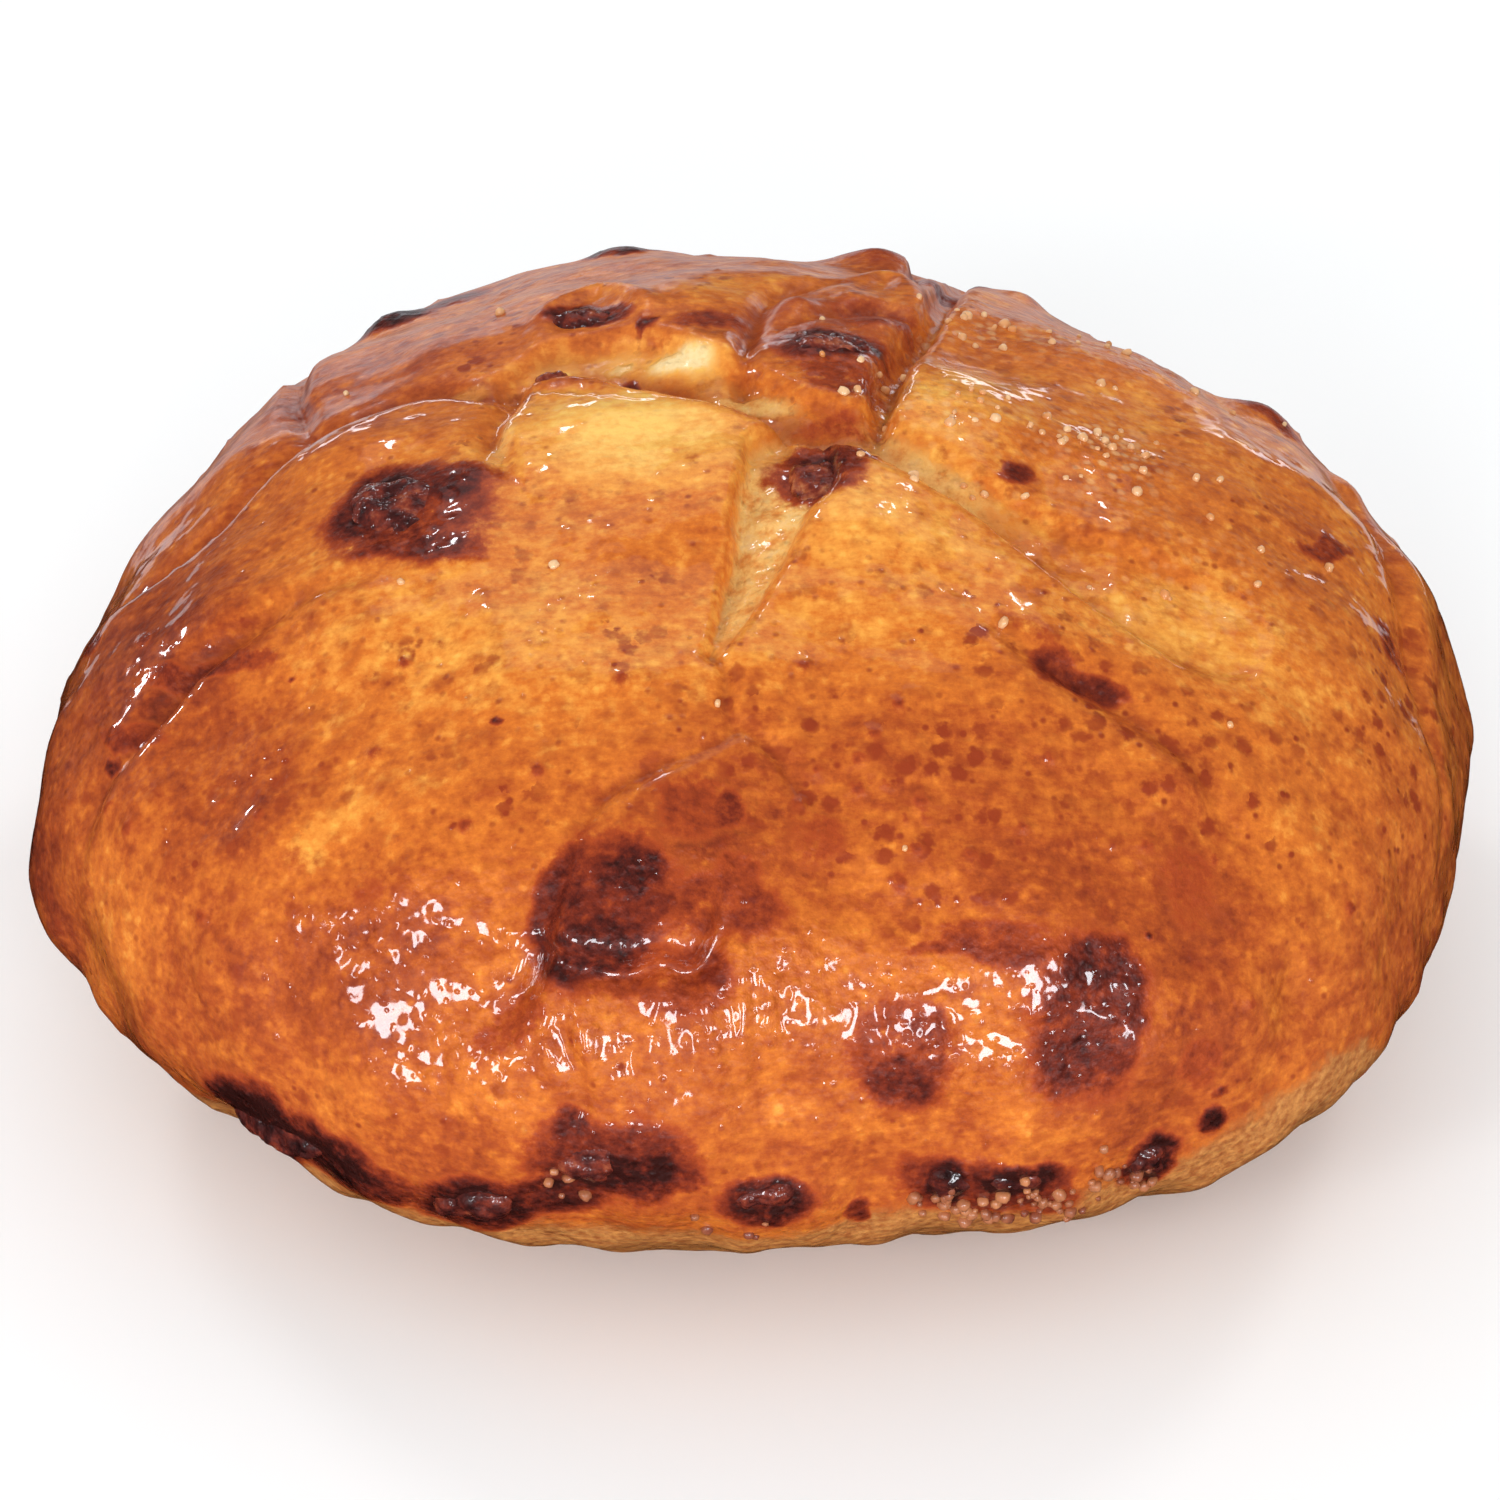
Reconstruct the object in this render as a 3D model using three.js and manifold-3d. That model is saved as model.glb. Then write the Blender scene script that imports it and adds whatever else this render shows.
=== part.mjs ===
// A round sweet apricot loaf: an egg-washed crust over a domed body, torn open by slashes that meet near the
// crown, with pieces of cooked fruit that show in the slashes, on one side and round the foot.
// Millimetres, +Z up. The foot rests on Z = 0 and the slashed side faces -Y.
import * as THREE from "three";
import { mergeVertices } from "three/addons/utils/BufferGeometryUtils.js";
import Module from "manifold-3d";

// ---- Driving sizes ----
const LOAF_RADIUS = 78.2;
const LOAF_HEIGHT = 74;
const BELLY_HEIGHT = 28; // where the loaf is widest
const HEEL_DROP = 34; // how far the rounded heel would reach below the belly if the foot were not flat
const CROWN_FULLNESS = 2.1; // 2 is an ellipse, more is boxier
const HEEL_FULLNESS = 2.2;
const CROWN_AXIS = [-1.05, -4.4]; // where the crown's axis stands, so that the origin is under the middle
const FRUIT_GAP = 0.3; // air between a piece of fruit and its pocket

// The plan is a circle pushed out of round: each wave has a number of lobes, a size and the way it faces.
const PLAN_WAVES = [
  { lobes: 1, size: 2.6, facing: 79 },
  { lobes: 2, size: 2.7, facing: -6 },
  { lobes: 3, size: 2.6, facing: -21 },
  { lobes: 4, size: 0.8, facing: 26 },
  { lobes: 5, size: 0.5, facing: 30 },
  { lobes: 6, size: 1.1, facing: 14 },
];

// ---- Mesh fineness ----
const RING_STEPS = [
  { until: 40, step: 2.2 },
  { until: 62, step: 2.8 },
  { until: 104, step: 3.9 },
  { until: 144, step: 5.4 },
];
const RING_POINTS = 120; // at most, on one ring
const FOOT_RINGS = [{ out: 0.8, points: 60 }, { out: 0.45, points: 24 }];
const FRUIT_DETAIL = 2;
const SMALL_FRUIT = 7.5; // pieces shorter than this have fewer faces
const SMALL_FRUIT_DETAIL = 1;

// ---- Relief of the crust ----
// Places on the crust are [right, back]: how far one walks over it from the crown, as seen from the front.

// Slashes: [right, back, half width, depth] along each, how wide its walls are, and the lips beside it, which
// stand up by about leftLip and rightLip and run out over the reach.
const SLASHES = [
  { // across the crown, then down the right shoulder as a stretched band
    wall: 3, leftLip: 1.3, rightLip: 1.0, reach: 5,
    path: [
      [-28, 17, 0.8, 1.2], [-24, 18.5, 1.8, 2.0], [-20, 19, 2.6, 2.6], [-14, 17.5, 3.4, 2.8],
      [-8.5, 14, 3.4, 2.8], [-3, 9.5, 2.8, 2.6], [2, 5.5, 2.2, 2.4], [7, 2.5, 2.2, 2.2], [12, 0, 2.0, 2.0],
      [18, -4.5, 1.8, 1.8], [25, -9, 1.8, 1.5], [32, -13.5, 2.8, 1.2], [40, -17.5, 5.0, 0.9],
      [49, -21, 6.0, 0.5],
    ],
  },
  { // down the front as a wedge
    wall: 3, leftLip: 0.9, rightLip: 0.9, reach: 4,
    path: [
      [4.2, -3.5, 4.0, 1.9], [4, -8, 4.4, 2.5], [2.4, -14, 3.6, 2.4], [1.3, -20, 2.8, 2.1],
      [-0.6, -27, 2.1, 1.8], [-2.2, -32, 1.4, 1.3], [-4, -37, 0.5, 0.7],
    ],
  },
  { // up the back between two lobes
    wall: 3.2, leftLip: 0.5, rightLip: 1.4, reach: 5,
    path: [
      [12.5, 1, 0.8, 2.4], [14.7, 9.5, 0.7, 3.0], [16.5, 17, 0.7, 3.0], [18.6, 23.6, 0.7, 2.8],
      [21.5, 33, 0.7, 2.4], [23, 42, 0.9, 2.4], [25, 54, 0.6, 1.6], [28, 66, 0.3, 0.6],
    ],
  },
];
const FLOOR_TILT = 0.3; // how far the floors of the slashes tip up to their left side

// Folds: [right, back, depth] along each, with how wide it is and how far one side stands over the other.
// Where the depth is less than nothing, the fold stands up as a ridge.
const FOLDS = [
  { width: 1.6, lift: 0.9, reach: 6, path: [[-27, 14, 1.2], [-29, 5, 1.2], [-27, -1, 0.9], [-25, -6, 0.3]] },
  {
    width: 2.2, lift: 1.3, reach: 8,
    path: [
      [-28, 14, 1.2], [-35, 17, 1.4], [-40, 18, 1.5], [-47, 16, 1.6], [-53, 14, 1.7], [-57, 11, 1.6],
      [-62, 6, 1.5], [-67, 4, 1.4], [-74, 2, 1.1], [-82, 4, 0.7], [-90, 8, 0.3],
    ],
  },
  {
    width: 1.8, lift: -0.9, reach: 6,
    path: [[-56, 52, 0.5], [-55, 42, 1.2], [-55, 30, 1.3], [-53, 18, 0.7]],
  },
  {
    width: 1.9, lift: 0.8, reach: 7,
    path: [
      [-38, -17, 0.2], [-47, -17, 0.6], [-52, -18, 1.0], [-57, -19.5, 1.8], [-62, -21, 2.2],
      [-66, -23.5, 2.0], [-71, -26.5, 1.3], [-76, -29, 0.7], [-82, -35, 0.2],
    ],
  },
  {
    width: 1.4, lift: -0.8, reach: 6,
    path: [
      [-27, -74, 0.9], [-24.5, -69, 1.0], [-22, -63, 0.6], [-20, -58, 0.6], [-17, -54.5, 0.7],
      [-11, -52, 0.8], [-5, -50, 0.6], [-1, -48.5, 0.7], [3, -51.5, 0.7], [6, -56, 0.3],
    ],
  },
  {
    width: 1.8, lift: 1.4, reach: 6,
    path: [
      [-26, -70, 0.5], [-21, -73, 1.2], [-15, -75, 1.3], [-11, -74.5, 1.2], [-7, -76, 1.8], [-4, -72, 1.0],
      [-3, -67, 0.2],
    ],
  },
  {
    width: 1.4, lift: 0, reach: 5,
    path: [[-33, -78, 0.3], [-30, -76, 0.9], [-27, -74, 1.0], [-25, -71, 0.5]],
  },
  {
    width: 1.3, lift: 0.5, reach: 5,
    path: [
      [-24, -80, 0.4], [-22, -84, 0.9], [-22, -88, 0.9], [-24, -91, 0.3],
    ],
  },
  { width: 0.9, lift: 0.4, reach: 4, path: [[-5, -37, 0.6], [-3, -40, 0.9], [-3, -44, 0.8], [-2, -48, 0.4]] },
  {
    width: 2.4, lift: -0.7, reach: 8,
    path: [
      [25, -28, 0.3], [30, -32, 1.2], [34, -33.5, 1.7], [39, -35.5, 1.3], [43, -38, 0.9], [48, -41, 0.8],
      [52, -45, 0.3],
    ],
  },
  {
    width: 2.0, lift: 0.8, reach: 7,
    path: [
      [68, 26, 0.3], [73, 15, 0.9], [76, 4, 1.1], [79, -4, 1.1], [82, -13, 0.9], [87, -26, 0.3],
    ],
  },
  {
    width: 1.2, lift: 0.6, reach: 5,
    path: [
      [-1, 11, 0.9], [-0.5, 18, 1.2], [1, 27, 1.2], [3, 33, 1.0], [6, 36, 0.7], [12, 40, 0.3],
    ],
  },
  {
    width: 2.2, lift: 1.0, reach: 8,
    path: [
      [-34, 66, 0.3], [-20, 76, 1.2], [-4, 82, 1.5], [12, 80, 1.3], [24, 72, 0.4],
    ],
  },
  { width: 1.8, lift: -0.8, reach: 7, path: [[46, 58, 0.3], [56, 66, 1.1], [62, 76, 1.2], [64, 88, 0.5]] },
  { // the arch over the fruit left of the crown
    width: 1.5, lift: 0, reach: 5,
    path: [
      [-23.5, 26, -0.5], [-22, 31, -1.1], [-17, 34.5, -1.2], [-13.5, 31, -1.1], [-11, 25.5, -0.6],
    ],
  },
  { width: 1.2, lift: 0.6, reach: 5, path: [[4, 23, 0.3], [9, 28, 0.9], [15, 31.5, 0.9], [21, 30, 0.4]] },
  {
    width: 2.0, lift: 0, reach: 5,
    path: [
      [10, 37, -0.5], [14.5, 43.5, -1.3], [17.7, 42.6, -1.2], [19, 38, -0.5],
    ],
  },
  { width: 1.0, lift: 1.3, reach: 6, path: [[19, 47, 0.4], [20.2, 54, 1.2], [20.4, 60, 1.2], [20, 66, 0.4]] },
  {
    width: 1.4, lift: 0, reach: 4,
    path: [
      [-20, -74, -0.2], [-20.6, -78, -0.7], [-21.2, -84, -0.7], [-21.6, -88, -0.2],
    ],
  },
  { width: 1.2, lift: 0, reach: 4, path: [[-24.5, -75, -0.2], [-25.5, -80, -0.5], [-25.2, -86, -0.3]] },
  { width: 1.1, lift: 0, reach: 4, path: [[-1.6, -74, -0.2], [-1.1, -80, -0.6], [-0.8, -88, -0.3]] },
  { width: 1.0, lift: 0, reach: 4, path: [[1.7, -75, -0.2], [2.1, -81, -0.5], [2.6, -86, -0.2]] },
  { width: 1.2, lift: 0, reach: 4, path: [[-6, -76, -0.2], [-5.6, -82, -0.45], [-4.8, -88, -0.2]] },
  { width: 1.3, lift: 0, reach: 4, path: [[-12, -77, -0.2], [-13, -83, -0.4], [-13.2, -89, -0.2]] },
];

// Lumps and dents: where, how wide [right, back], how high, and how far turned.
const LUMPS = [
  { at: [-14, 4], spread: [9, 6], height: 1.5 },
  { at: [14, -13], spread: [12, 7], height: 1.1, turn: -25 },
  { at: [23, 10], spread: [9, 9], height: 1.8 },
  { at: [-43, 6], spread: [13, 7], height: 1.0 },
  { at: [-10, 31], spread: [9, 8], height: 1.3 },
  { at: [9, 21], spread: [8, 9], height: 1.5 },
  { at: [-8, -63], spread: [12, 11], height: 1.9 },
  { at: [-57, 38], spread: [12, 10], height: 0.8 },
  { at: [42, 28], spread: [14, 10], height: 0.9 },
  { at: [60, -14], spread: [14, 12], height: 0.8 },
  { at: [46, -43], spread: [4, 6], height: 0.8, turn: -35 },
  { at: [-48, -62], spread: [14, 12], height: 0.9 },
  { at: [22, -66], spread: [13, 10], height: 0.8 },
  { at: [66, -61], spread: [3, 5], height: -1.0, turn: 20 },
  { at: [52, -63], spread: [3.5, 3], height: -0.7 },
  { at: [-19, 37], spread: [6, 3.5], height: 0.4, turn: -20 },
  { at: [15, 57], spread: [5.5, 4], height: 2.4 },
  { at: [-16, 60], spread: [3.2, 2.6], height: 0.9 },
  { at: [-44, 53], spread: [4, 3], height: 1.8 },
  { at: [-36, 56], spread: [4, 3], height: 0.5 },
  { at: [34, 53], spread: [3.5, 3], height: 1.1 },
  { at: [62, 35], spread: [5, 3.5], height: 2.0 },
  { at: [72, 26], spread: [3, 3], height: 1.0 },
  { at: [98, 6], spread: [4, 4], height: 0.9 },
  { at: [12, 33], spread: [3, 3], height: 1.0 },
  { at: [5, 29], spread: [2.6, 3], height: 0.9 },
  { at: [15, 26], spread: [2.4, 3], height: 0.9 },
  { at: [36, -70], spread: [5, 7], height: 0.9 },
  { at: [-30, 88], spread: [13, 11], height: 1.2 },
  { at: [34, 90], spread: [12, 12], height: 1.0 },
  { at: [82, 50], spread: [12, 10], height: 1.0 },
  { at: [-82, 42], spread: [10, 12], height: 0.9 },
  { at: [-7.7, 16], spread: [4, 3.2], height: 1.6, turn: -20 },
  { at: [-18, 26], spread: [5, 3], height: -1.0, turn: -10 },
  { at: [69, 30], spread: [9, 9], height: 1.1 },
  { at: [49, 47], spread: [7, 7], height: -1.5 },
  { at: [-59, 46], spread: [6, 6], height: -0.8 },
  { at: [-76, 24], spread: [12, 12], height: 0.9 },
  { at: [-91, -6], spread: [8, 8], height: -0.6 },
  { at: [-99, -28], spread: [9, 9], height: 1.2 },
  { at: [-95, -60], spread: [5, 5], height: -0.9 },
  { at: [-75, -90], spread: [10, 10], height: 1.1 },
  { at: [-25, -117], spread: [26, 6], height: -0.5 },
  { at: [57, -107], spread: [6, 6], height: -0.8 },
  { at: [77, -88], spread: [8, 8], height: 1.1 },
  { at: [91, -62], spread: [4, 4], height: -0.9 },
  { at: [96, -44], spread: [7, 7], height: 1.5 },
  { at: [92, 2], spread: [8, 6], height: -0.7 },
  { at: [-98, -46], spread: [6, 6], height: 0.8 },
];

// Slow unevenness of the whole crust: waves with a length, a direction, a shift and a height.
const SWELLS = [
  { length: 47, toward: 22, shift: 0.6, height: 0.45 },
  { length: 38, toward: 101, shift: 2.1, height: 0.4 },
  { length: 27, toward: 64, shift: 4.4, height: 0.3 },
  { length: 21, toward: 148, shift: 1.2, height: 0.22 },
  { length: 14, toward: 8, shift: 3.3, height: 0.14 },
  { length: 11, toward: 87, shift: 5.1, height: 0.12 },
];
const RELIEF_ENDS = [118, 142]; // the relief dies away between these walks, so that the foot is flat

// Fruit that shows: where, its size [long, wide, thick], how far its middle lies under the crust, how turned.
const FRUIT = [
  { name: "fruit_hood", at: [-17.8, 27], size: [9, 5.5, 5], sink: 1.2, turn: -14 },
  { name: "fruit_ridge", at: [8.6, 18], size: [10, 8, 5], sink: 1.8, turn: 11 },
  { name: "fruit_slash", at: [7.6, -6.2], size: [7.6, 9, 4.5], sink: 1.5, turn: 10 },
  { name: "fruit_left", at: [-38, -6], size: [13, 10, 6], sink: 1.7, turn: -20 },
  { name: "fruit_nub_left", at: [-22.4, 15.9], size: [4.6, 3.4, 3], sink: 0.3, turn: -18 },
  { name: "fruit_nub_right", at: [-14.6, 14.4], size: [4, 3, 2.6], sink: 0.3, turn: -30 },
  { name: "fruit_heel_left", at: [-73, -79], size: [15, 6, 5], sink: 1.7, turn: -43 },
  { name: "fruit_heel_low_left", at: [-45, -98.5], size: [12, 6, 4.5], sink: 1.5, turn: -12 },
  { name: "fruit_heel_mid_left", at: [-21.5, -96], size: [10, 8, 5], sink: 1.9, turn: -20 },
  { name: "fruit_heel_middle", at: [3, -104], size: [10, 4.6, 4], sink: 1.3, turn: 18 },
  { name: "fruit_heel_mid_right", at: [31.7, -100], size: [6.4, 6, 4.5], sink: 1.6, turn: 10 },
  { name: "fruit_heel_right", at: [40.5, -95.6], size: [7.4, 4.6, 4], sink: 1.4, turn: 25 },
  { name: "fruit_heel_far_right", at: [59.8, -87.4], size: [5.4, 5.4, 4], sink: 1.3, turn: 40 },
  { name: "fruit_back_left", at: [-40, 92], size: [10, 7, 5], sink: 1.2, turn: 25 },
  { name: "fruit_back_right", at: [52, 84], size: [11, 8, 5], sink: 1.2, turn: -35 },
];

// ---- Form of the loaf ----
const degrees = (angle) => (angle * Math.PI) / 180;

function planRadius(azimuth) {
  let radius = LOAF_RADIUS;
  for (const { lobes, size, facing } of PLAN_WAVES) {
    radius += size * Math.cos(lobes * (azimuth - degrees(facing)));
  }
  return radius;
}

// The upright section: how far out (as a share of the plan radius) and how high, from the crown down.
function section(latitude) {
  const over = latitude >= 0;
  const power = 2 / (over ? CROWN_FULLNESS : HEEL_FULLNESS);
  const out = Math.abs(Math.cos(latitude)) ** power;
  const share = Math.abs(Math.sin(latitude)) ** power;
  const up = over ? BELLY_HEIGHT + (LOAF_HEIGHT - BELLY_HEIGHT) * share : BELLY_HEIGHT - HEEL_DROP * share;
  return { out, up };
}

// The same section by the distance walked from the crown to the edge of the foot.
function walkSection() {
  const steps = 3000;
  const stops = [{ walk: 0, out: 0, up: LOAF_HEIGHT }];
  for (let i = 1; i <= steps; i += 1) {
    const next = section(Math.PI / 2 - (Math.PI * i) / steps);
    if (next.up < 0) {
      break;
    }
    const last = stops.at(-1);
    const walk = last.walk + Math.hypot((next.out - last.out) * LOAF_RADIUS, next.up - last.up);
    stops.push({ walk, ...next });
  }
  return stops;
}

const SECTION = walkSection();
const FOOT_WALK = SECTION.at(-1).walk;

function sectionAt(walk) {
  let low = 0;
  let high = SECTION.length - 1;
  while (high - low > 1) {
    const middle = (low + high) >> 1;
    if (SECTION[middle].walk > walk) {
      high = middle;
    } else {
      low = middle;
    }
  }
  const share = Math.min(1, (walk - SECTION[low].walk) / (SECTION[high].walk - SECTION[low].walk));
  const between = (key) => SECTION[low][key] + share * (SECTION[high][key] - SECTION[low][key]);
  return { out: between("out"), up: between("up") };
}

function smoothCrust(right, back) {
  const azimuth = Math.atan2(back, right);
  const { out, up } = sectionAt(Math.hypot(right, back));
  const radius = out * planRadius(azimuth);
  return new THREE.Vector3(radius * Math.cos(azimuth), radius * Math.sin(azimuth), up);
}

// The crust's own directions at a place: to the right, to the back and outwards.
function crustAxes(right, back) {
  const probe = 0.3;
  const toRight = smoothCrust(right + probe, back).sub(smoothCrust(right - probe, back)).normalize();
  const toBack = smoothCrust(right, back + probe).sub(smoothCrust(right, back - probe)).normalize();
  const outward = new THREE.Vector3().crossVectors(toRight, toBack).normalize();
  return { toRight, toBack: new THREE.Vector3().crossVectors(outward, toRight), outward };
}

// ---- Relief ----
const eased = (value) => {
  const share = Math.min(1, Math.max(0, value));
  return share * share * (3 - 2 * share);
};

// A path's points closer together, on a smooth curve through the ones given.
function smoothPath(path) {
  const step = 1.5;
  const places = new THREE.CatmullRomCurve3(path.map(([right, back]) => new THREE.Vector3(right, back, 0)));
  const values = new THREE.CatmullRomCurve3(path.map((stop) => new THREE.Vector3(stop[2], stop[3] ?? 0, 0)));
  const stops = Math.ceil(places.getLength() / step);
  return Array.from({ length: stops + 1 }, (_, i) => {
    const place = places.getPoint(i / stops);
    const value = values.getPoint(i / stops);
    return [place.x, place.y, value.x, value.y];
  });
}

// The nearest stretch of a path: how far away (positive on its left side) and the values there.
function nearestOn(path, right, back) {
  let nearest = { away: Infinity };
  for (let i = 1; i < path.length; i += 1) {
    const [startRight, startBack] = path[i - 1];
    const runRight = path[i][0] - startRight;
    const runBack = path[i][1] - startBack;
    const along = (right - startRight) * runRight + (back - startBack) * runBack;
    const share = Math.min(1, Math.max(0, along / (runRight ** 2 + runBack ** 2)));
    const offRight = right - startRight - share * runRight;
    const offBack = back - startBack - share * runBack;
    const away = Math.hypot(offRight, offBack);
    if (away < nearest.away) {
      const side = Math.sign(runRight * offBack - runBack * offRight) || 1;
      const value = (key) => path[i - 1][key] + share * (path[i][key] - path[i - 1][key]);
      nearest = { away, side, first: value(2), second: value(3) };
    }
  }
  return nearest;
}

const SMOOTH_SLASHES = SLASHES.map((slash) => ({ ...slash, path: smoothPath(slash.path) }));
const SMOOTH_FOLDS = FOLDS.map((fold) => ({ ...fold, path: smoothPath(fold.path) }));

// A lip is nothing at the edge, swells just behind it and runs out over its reach.
const LIP_RISE = 1.2; // how soon it swells
const lipShape = (away, reach) => (1 - Math.exp(-((away / LIP_RISE) ** 2))) * Math.exp(-away / reach);

function slashRelief(right, back) {
  let floor = 0;
  let cover = 0;
  let lip = 0;
  for (const { path, wall, leftLip, rightLip, reach } of SMOOTH_SLASHES) {
    const { away, side, first: halfWidth, second: depth } = nearestOn(path, right, back);
    const inside = eased(1 - (away - halfWidth) / wall);
    const tilt = 1 - FLOOR_TILT * side * Math.min(1, away / Math.max(halfWidth, wall));
    const beyond = Math.max(0, away - halfWidth - wall / 2);
    const curl = (side > 0 ? leftLip : rightLip) * Math.min(1, depth / 2) * lipShape(beyond, reach);
    floor = Math.max(floor, depth * inside * tilt);
    cover = Math.max(cover, inside);
    lip = Math.max(lip, curl);
  }
  return lip * (1 - cover) - floor;
}

function foldRelief(right, back) {
  let height = 0;
  for (const { path, width, lift, reach } of SMOOTH_FOLDS) {
    const { away, side, first: depth } = nearestOn(path, right, back);
    const raised = side === Math.sign(lift) ? Math.abs(lift) * Math.min(1, depth) * lipShape(away, reach) : 0;
    height += raised - depth * Math.exp(-((away / width) ** 2));
  }
  return height;
}

function lumpRelief(right, back) {
  let height = 0;
  for (const { at, spread, height: tall, turn = 0 } of LUMPS) {
    const angle = degrees(turn);
    const offRight = right - at[0];
    const offBack = back - at[1];
    const along = (offRight * Math.cos(angle) + offBack * Math.sin(angle)) / spread[0];
    const across = (offBack * Math.cos(angle) - offRight * Math.sin(angle)) / spread[1];
    height += tall * Math.exp(-(along ** 2 + across ** 2));
  }
  return height;
}

function swellRelief(right, back) {
  let height = 0;
  for (const { length, toward, shift, height: tall } of SWELLS) {
    const along = right * Math.cos(degrees(toward)) + back * Math.sin(degrees(toward));
    height += tall * Math.sin((2 * Math.PI * along) / length + shift);
  }
  return height;
}

function crust(right, back) {
  const walk = Math.hypot(right, back);
  const strength = 1 - eased((walk - RELIEF_ENDS[0]) / (RELIEF_ENDS[1] - RELIEF_ENDS[0]));
  const cuts = slashRelief(right, back) + foldRelief(right, back);
  const relief = cuts + lumpRelief(right, back) + swellRelief(right, back);
  return smoothCrust(right, back).addScaledVector(crustAxes(right, back).outward, relief * strength);
}

// ---- Solids ----
const wasm = await Module();
wasm.setup();

function solidOf(geometry) {
  const bare = geometry.clone();
  bare.deleteAttribute("normal");
  bare.deleteAttribute("uv");
  const merged = mergeVertices(bare, 1e-4);
  return new wasm.Manifold(new wasm.Mesh({
    numProp: 3,
    vertProperties: Float32Array.from(merged.attributes.position.array),
    triVerts: Uint32Array.from(merged.index.array),
  }));
}

function geometryOf(solid) {
  const { vertProperties, triVerts } = solid.getMesh();
  const geometry = new THREE.BufferGeometry();
  geometry.setAttribute("position", new THREE.BufferAttribute(Float32Array.from(vertProperties), 3));
  geometry.setIndex(new THREE.BufferAttribute(Uint32Array.from(triVerts), 1));
  geometry.computeVertexNormals();
  return geometry;
}

// Triangles between two rings with any number of points, walking round both at once.
function stitch(inner, outer) {
  const faces = [];
  let i = 0;
  let o = 0;
  while (i < inner.length || o < outer.length) {
    const innerNow = inner[i % inner.length];
    const outerNow = outer[o % outer.length];
    if ((o + 0.5) / outer.length <= (i + 0.5) / inner.length) {
      faces.push(innerNow, outerNow, outer[(o + 1) % outer.length]);
      o += 1;
    } else {
      faces.push(innerNow, outerNow, inner[(i + 1) % inner.length]);
      i += 1;
    }
  }
  return faces;
}

function ringWalks() {
  const walks = [];
  let walk = 0;
  for (const { until, step } of RING_STEPS) {
    while (walk + step < Math.min(until, FOOT_WALK - step / 2)) {
      walk += step;
      walks.push(walk);
    }
  }
  return [...walks, FOOT_WALK];
}

// The loaf as rings of points round the crown, closed under the foot.
function loafGeometry() {
  const points = [crust(1e-6, 0)];
  const rings = [];
  const addRing = (count, walk, place) => {
    const ring = [];
    for (let i = 0; i < count; i += 1) {
      const azimuth = (2 * Math.PI * i) / count;
      ring.push(points.length);
      points.push(place(walk * Math.cos(azimuth), walk * Math.sin(azimuth)));
    }
    rings.push(ring);
  };
  ringWalks().forEach((walk, k) => addRing(Math.min(6 * (k + 1), RING_POINTS), walk, crust));
  for (const { out, points: count } of FOOT_RINGS) {
    addRing(count, FOOT_WALK, (right, back) => smoothCrust(right, back).multiplyScalar(out));
  }
  const foot = points.length;
  points.push(new THREE.Vector3(0, 0, 0));
  for (const ring of rings.slice(-FOOT_RINGS.length - 1)) {
    ring.forEach((index) => points[index].setZ(0));
  }
  const faces = [];
  rings[0].forEach((point, i) => faces.push(0, point, rings[0][(i + 1) % rings[0].length]));
  for (let k = 1; k < rings.length; k += 1) {
    faces.push(...stitch(rings[k - 1], rings[k]));
  }
  const last = rings.at(-1);
  last.forEach((point, i) => faces.push(point, foot, last[(i + 1) % last.length]));
  const geometry = new THREE.BufferGeometry().setFromPoints(points);
  geometry.setIndex(faces);
  return geometry;
}

// A lumpy piece of fruit set into the crust, or with some growth the pocket that it sits in.
function fruitGeometry({ at, size, sink, turn }, growth = 0) {
  const ball = new THREE.IcosahedronGeometry(1, size[0] < SMALL_FRUIT ? SMALL_FRUIT_DETAIL : FRUIT_DETAIL);
  const geometry = mergeVertices(ball.deleteAttribute("normal").deleteAttribute("uv"));
  const { toRight, toBack, outward } = crustAxes(...at);
  const middle = crust(...at).addScaledVector(outward, -sink);
  const long = toRight.clone().applyAxisAngle(outward, degrees(turn));
  const wide = new THREE.Vector3().crossVectors(outward, long);
  const place = geometry.attributes.position;
  const corner = new THREE.Vector3();
  for (let i = 0; i < place.count; i += 1) {
    corner.fromBufferAttribute(place, i);
    const longDents = 0.08 * Math.sin(5 * corner.x + at[0]);
    const dents = longDents + 0.06 * Math.sin(6 * corner.y + 4 * corner.z + at[1]);
    const reach = size.map((length) => (length / 2) * (1 + dents) + growth);
    const spot = middle.clone()
      .addScaledVector(long, corner.x * reach[0])
      .addScaledVector(wide, corner.y * reach[1])
      .addScaledVector(outward, corner.z * reach[2]);
    place.setXYZ(i, spot.x, spot.y, spot.z);
  }
  return geometry;
}

// ---- Finishes ----
const crustFinish = () => new THREE.MeshStandardMaterial({ color: 0xcf7a2c, roughness: 0.35, metalness: 0 });
const fruitFinish = () => new THREE.MeshStandardMaterial({ color: 0x6e2415, roughness: 0.3, metalness: 0 });

function piece(name, geometry, finish) {
  const mesh = new THREE.Mesh(geometry, finish);
  mesh.name = name;
  return mesh;
}

// ---- The part ----
const apricotBread = new THREE.Group();
let loaf = solidOf(loafGeometry());
for (const fruit of FRUIT) {
  loaf = loaf.subtract(solidOf(fruitGeometry(fruit, FRUIT_GAP)));
  const geometry = fruitGeometry(fruit);
  geometry.computeVertexNormals();
  apricotBread.add(piece(fruit.name, geometry, fruitFinish()));
}
apricotBread.add(piece("loaf", geometryOf(loaf), crustFinish()));
apricotBread.children.forEach((mesh) => mesh.position.set(...CROWN_AXIS, 0));

export default apricotBread;
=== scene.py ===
"""A round glazed apricot loaf: its crust, its slashes, the fruit that shows and the sugar on it."""

import math
import random

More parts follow.
